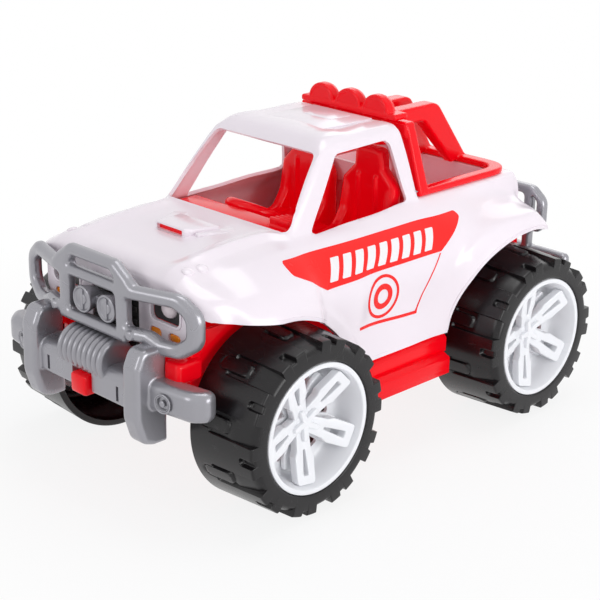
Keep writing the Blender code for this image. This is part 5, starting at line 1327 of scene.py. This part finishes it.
# %% Tray, dashboard, console and instruments
TRAY_FLOOR, TRAY_FRONT, TRAY_REAR, DASH_TOP = 111.3, -72.0, 32.3, 145.0
HUMP_RIBS, RIB_PITCH, RIB_DROP = 4, 4.3, 0.4
dash_line = rounded([(TRAY_FRONT, TRAY_FLOOR + 1, 0), (TRAY_FRONT + 16, TRAY_FLOOR + 1, 0),
                     (TRAY_FRONT + 20, DASH_TOP - 8, 4), (TRAY_FRONT + 14, DASH_TOP - 1, 5),
                     (TRAY_FRONT, DASH_TOP, 1)], 6)
tray_parts = [block("tray", (-58.4, TRAY_FRONT, TRAY_FLOOR), (58.4, TRAY_REAR, TRAY_FLOOR + 2.5), 0.5),
              plate("dash", [dash_line], 101.6, 1.4, "side", 0.0),
              block("console", (-6.0, TRAY_FRONT + 10, TRAY_FLOOR + 1), (6.0, TRAY_REAR - 20, 128.0), 1.8),
              block("dash_ledge", (-54.6, TRAY_FRONT, 138.0), (54.6, TRAY_FRONT + 21.5, 148.2), 2.0),
              block("hump", (25.5, TRAY_FRONT + 7, 140.0), (45.0, TRAY_FRONT + 25, 151.5), 3.4)]
for index in range(HUMP_RIBS):
    y = TRAY_FRONT + 8.0 + index * RIB_PITCH
    tray_parts.append(block("hump_rib", (27.0, y, 148.0), (43.5, y + 2.8, 154.2 - RIB_DROP * index), 1.2))
boss = turned("boss", [(5.5, -29.0), (5.5, -17.4), (4.9, -16.7)], 40, "Z")
boss.data.transform(column_lean)
tray_parts.append(boss)
place(joined(tray_parts, "interior_tub_look"), "red_plastic", 40)

# %% [markdown]
# ## Rear bar and rear bumper
#
# The photograph shows only the left end of these two: a silver loop beside the deck and a bumper's tip
# below it. The rest mirrors that end. Both are melted, the rail from one plate and the bumper from blocks.

# %% Rear bar and rear bumper
REAR_LOW, REAR_TOP, REAR_HALF, REAR_BAR = 95.6, 140.5, 74.8, 6.6
leg = REAR_HALF - 10.8
outline = [(leg, REAR_LOW, 0.5), (leg, REAR_LOW + 12.7, 3), (leg + 8, REAR_LOW + 12.7, 7),
           (REAR_HALF, REAR_LOW + 20.7, 7), (REAR_HALF, REAR_TOP - 8.5, 10), (leg, REAR_TOP, 9)]
post_in = leg - REAR_BAR
inner_line = [(-post_in, REAR_LOW, 0.5), (-post_in, REAR_TOP - REAR_BAR, 3),
              (post_in, REAR_TOP - REAR_BAR, 3), (post_in, REAR_LOW, 0.5)]
whole = rounded(outline + mirrored(reversed(outline), -1) + inner_line, 6)
loops = [whole]
for sign in (1, -1):
    hole = [(leg + 0.4, REAR_LOW + 19.3, 2), (REAR_HALF - REAR_BAR, REAR_LOW + 22.7, 3.4),
            (REAR_HALF - REAR_BAR, REAR_TOP - 10.5, 3.4), (leg + 0.4, REAR_TOP - REAR_BAR, 2)]
    loops.append(rounded(mirrored(hole, sign), 6))
rail = plate("rear_rail", loops, 7.0, 2.4, "front", 152.8, 5)
place(melted([rail], "rear_bar_look", 0.55, 5), "silver_plastic", 50)
BACK, MOUNT, BEAM_LOW, BEAM_TOP = 166.0, 144.2, 80.0, 95.0
beam_parts = [block("rear_mount", (-30.0, MOUNT, BEAM_LOW), (30.0, BACK - 7.0, BEAM_TOP), 2.0),
              block("rear_beam", (-62.0, BACK - 9.0, BEAM_LOW), (62.0, BACK, BEAM_TOP), 3.6, 5)]
beam_parts += block_pair("rear_arm", 74.5, 15.5, (BACK - 8.6, BEAM_LOW), (BACK - 0.4, BEAM_TOP), 3.8, 5)
place(melted(beam_parts, "rear_bumper_look", 0.65, 5), "silver_plastic", 50)

# %% [markdown]
# ## The red chassis
#
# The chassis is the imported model's own tub, whose mesh is welded and given soft edges. The side steps are
# what the eye meets, so they get their real form over it: a raised rail under the sill and a ledge with a
# rounded lip. At the front a tongue comes through the bumper, and a block with a short wall over it fills
# each corner by the wheel.

# %% Chassis with its steps, tongue and corner blocks
source = frame["nodes"]["chassis"]
tub = source.copy()
tub.data = source.data.copy()
tub.name = "chassis_look"
bpy.context.collection.objects.link(tub)
tub.data.transform(source.matrix_world)
tub.matrix_world = Matrix.Identity(4)
tub.parent = None
tub.data.transform(Matrix.Scale(1 / MM, 4) @ Matrix.Translation((0, -MID_Y, 0)))
tub.data.materials.clear()
edit(tub)
bpy.ops.mesh.remove_doubles(threshold=0.01)
bpy.ops.mesh.dissolve_limited(angle_limit=0.01)
done()
add_modifier(tub, "BEVEL", width=0.7, segments=2, limit_method="ANGLE", angle_limit=0.6)
apply_modifiers(tub)
CORNER_LOW = 86.0
chassis_parts = [tub]
rail_line = rounded([(78.0, 56.0, 0), (86.2, 56.0, 1), (86.4, 65.6, 2.2), (84.0, 68.0, 2),
                     (78.0, 68.6, 0)], 6)
ledge_line = rounded([(62.0, 43.8, 0), (89.5, 43.8, 3), (92.6, 47.0, 2.5), (92.6, 54.8, 3), (88.5, 57.4, 2.5),
                      (78.0, 57.4, 0), (62.0, 47.0, 0)], 6)
for sign in (1, -1):
    chassis_parts.append(plate("step_rail", [mirrored(rail_line, sign)], 78.0, 1.2, "front", 0.0))
    chassis_parts.append(plate("step_ledge", [mirrored(ledge_line, sign)], 70.4, 1.4, "front", 0.0))
chassis_parts += block_pair("corner_block", 60.5, 6.5, (-171.0, CORNER_LOW), (-152.0, 99.0), 3.0, 5)
chassis_parts += block_pair("corner_wall", 56.5, 6.5, (-158.0, CORNER_LOW), (-150.0, 122.0), 1.0, 5)
tongue_line = rounded([(-6.2, -160.0, 0), (-6.2, -190.4, 5.0), (6.2, -190.4, 5.0), (6.2, -160.0, 0)], 8)
chassis_parts.append(plate("tongue", [tongue_line], 10.4, 4.2, "top", 72.6, 8))
place(joined(chassis_parts, "chassis_look"), "red_plastic", 40)

# %% [markdown]
# ## Last step
#
# Nothing is left selected at the end.

# %% Finish
deselect()
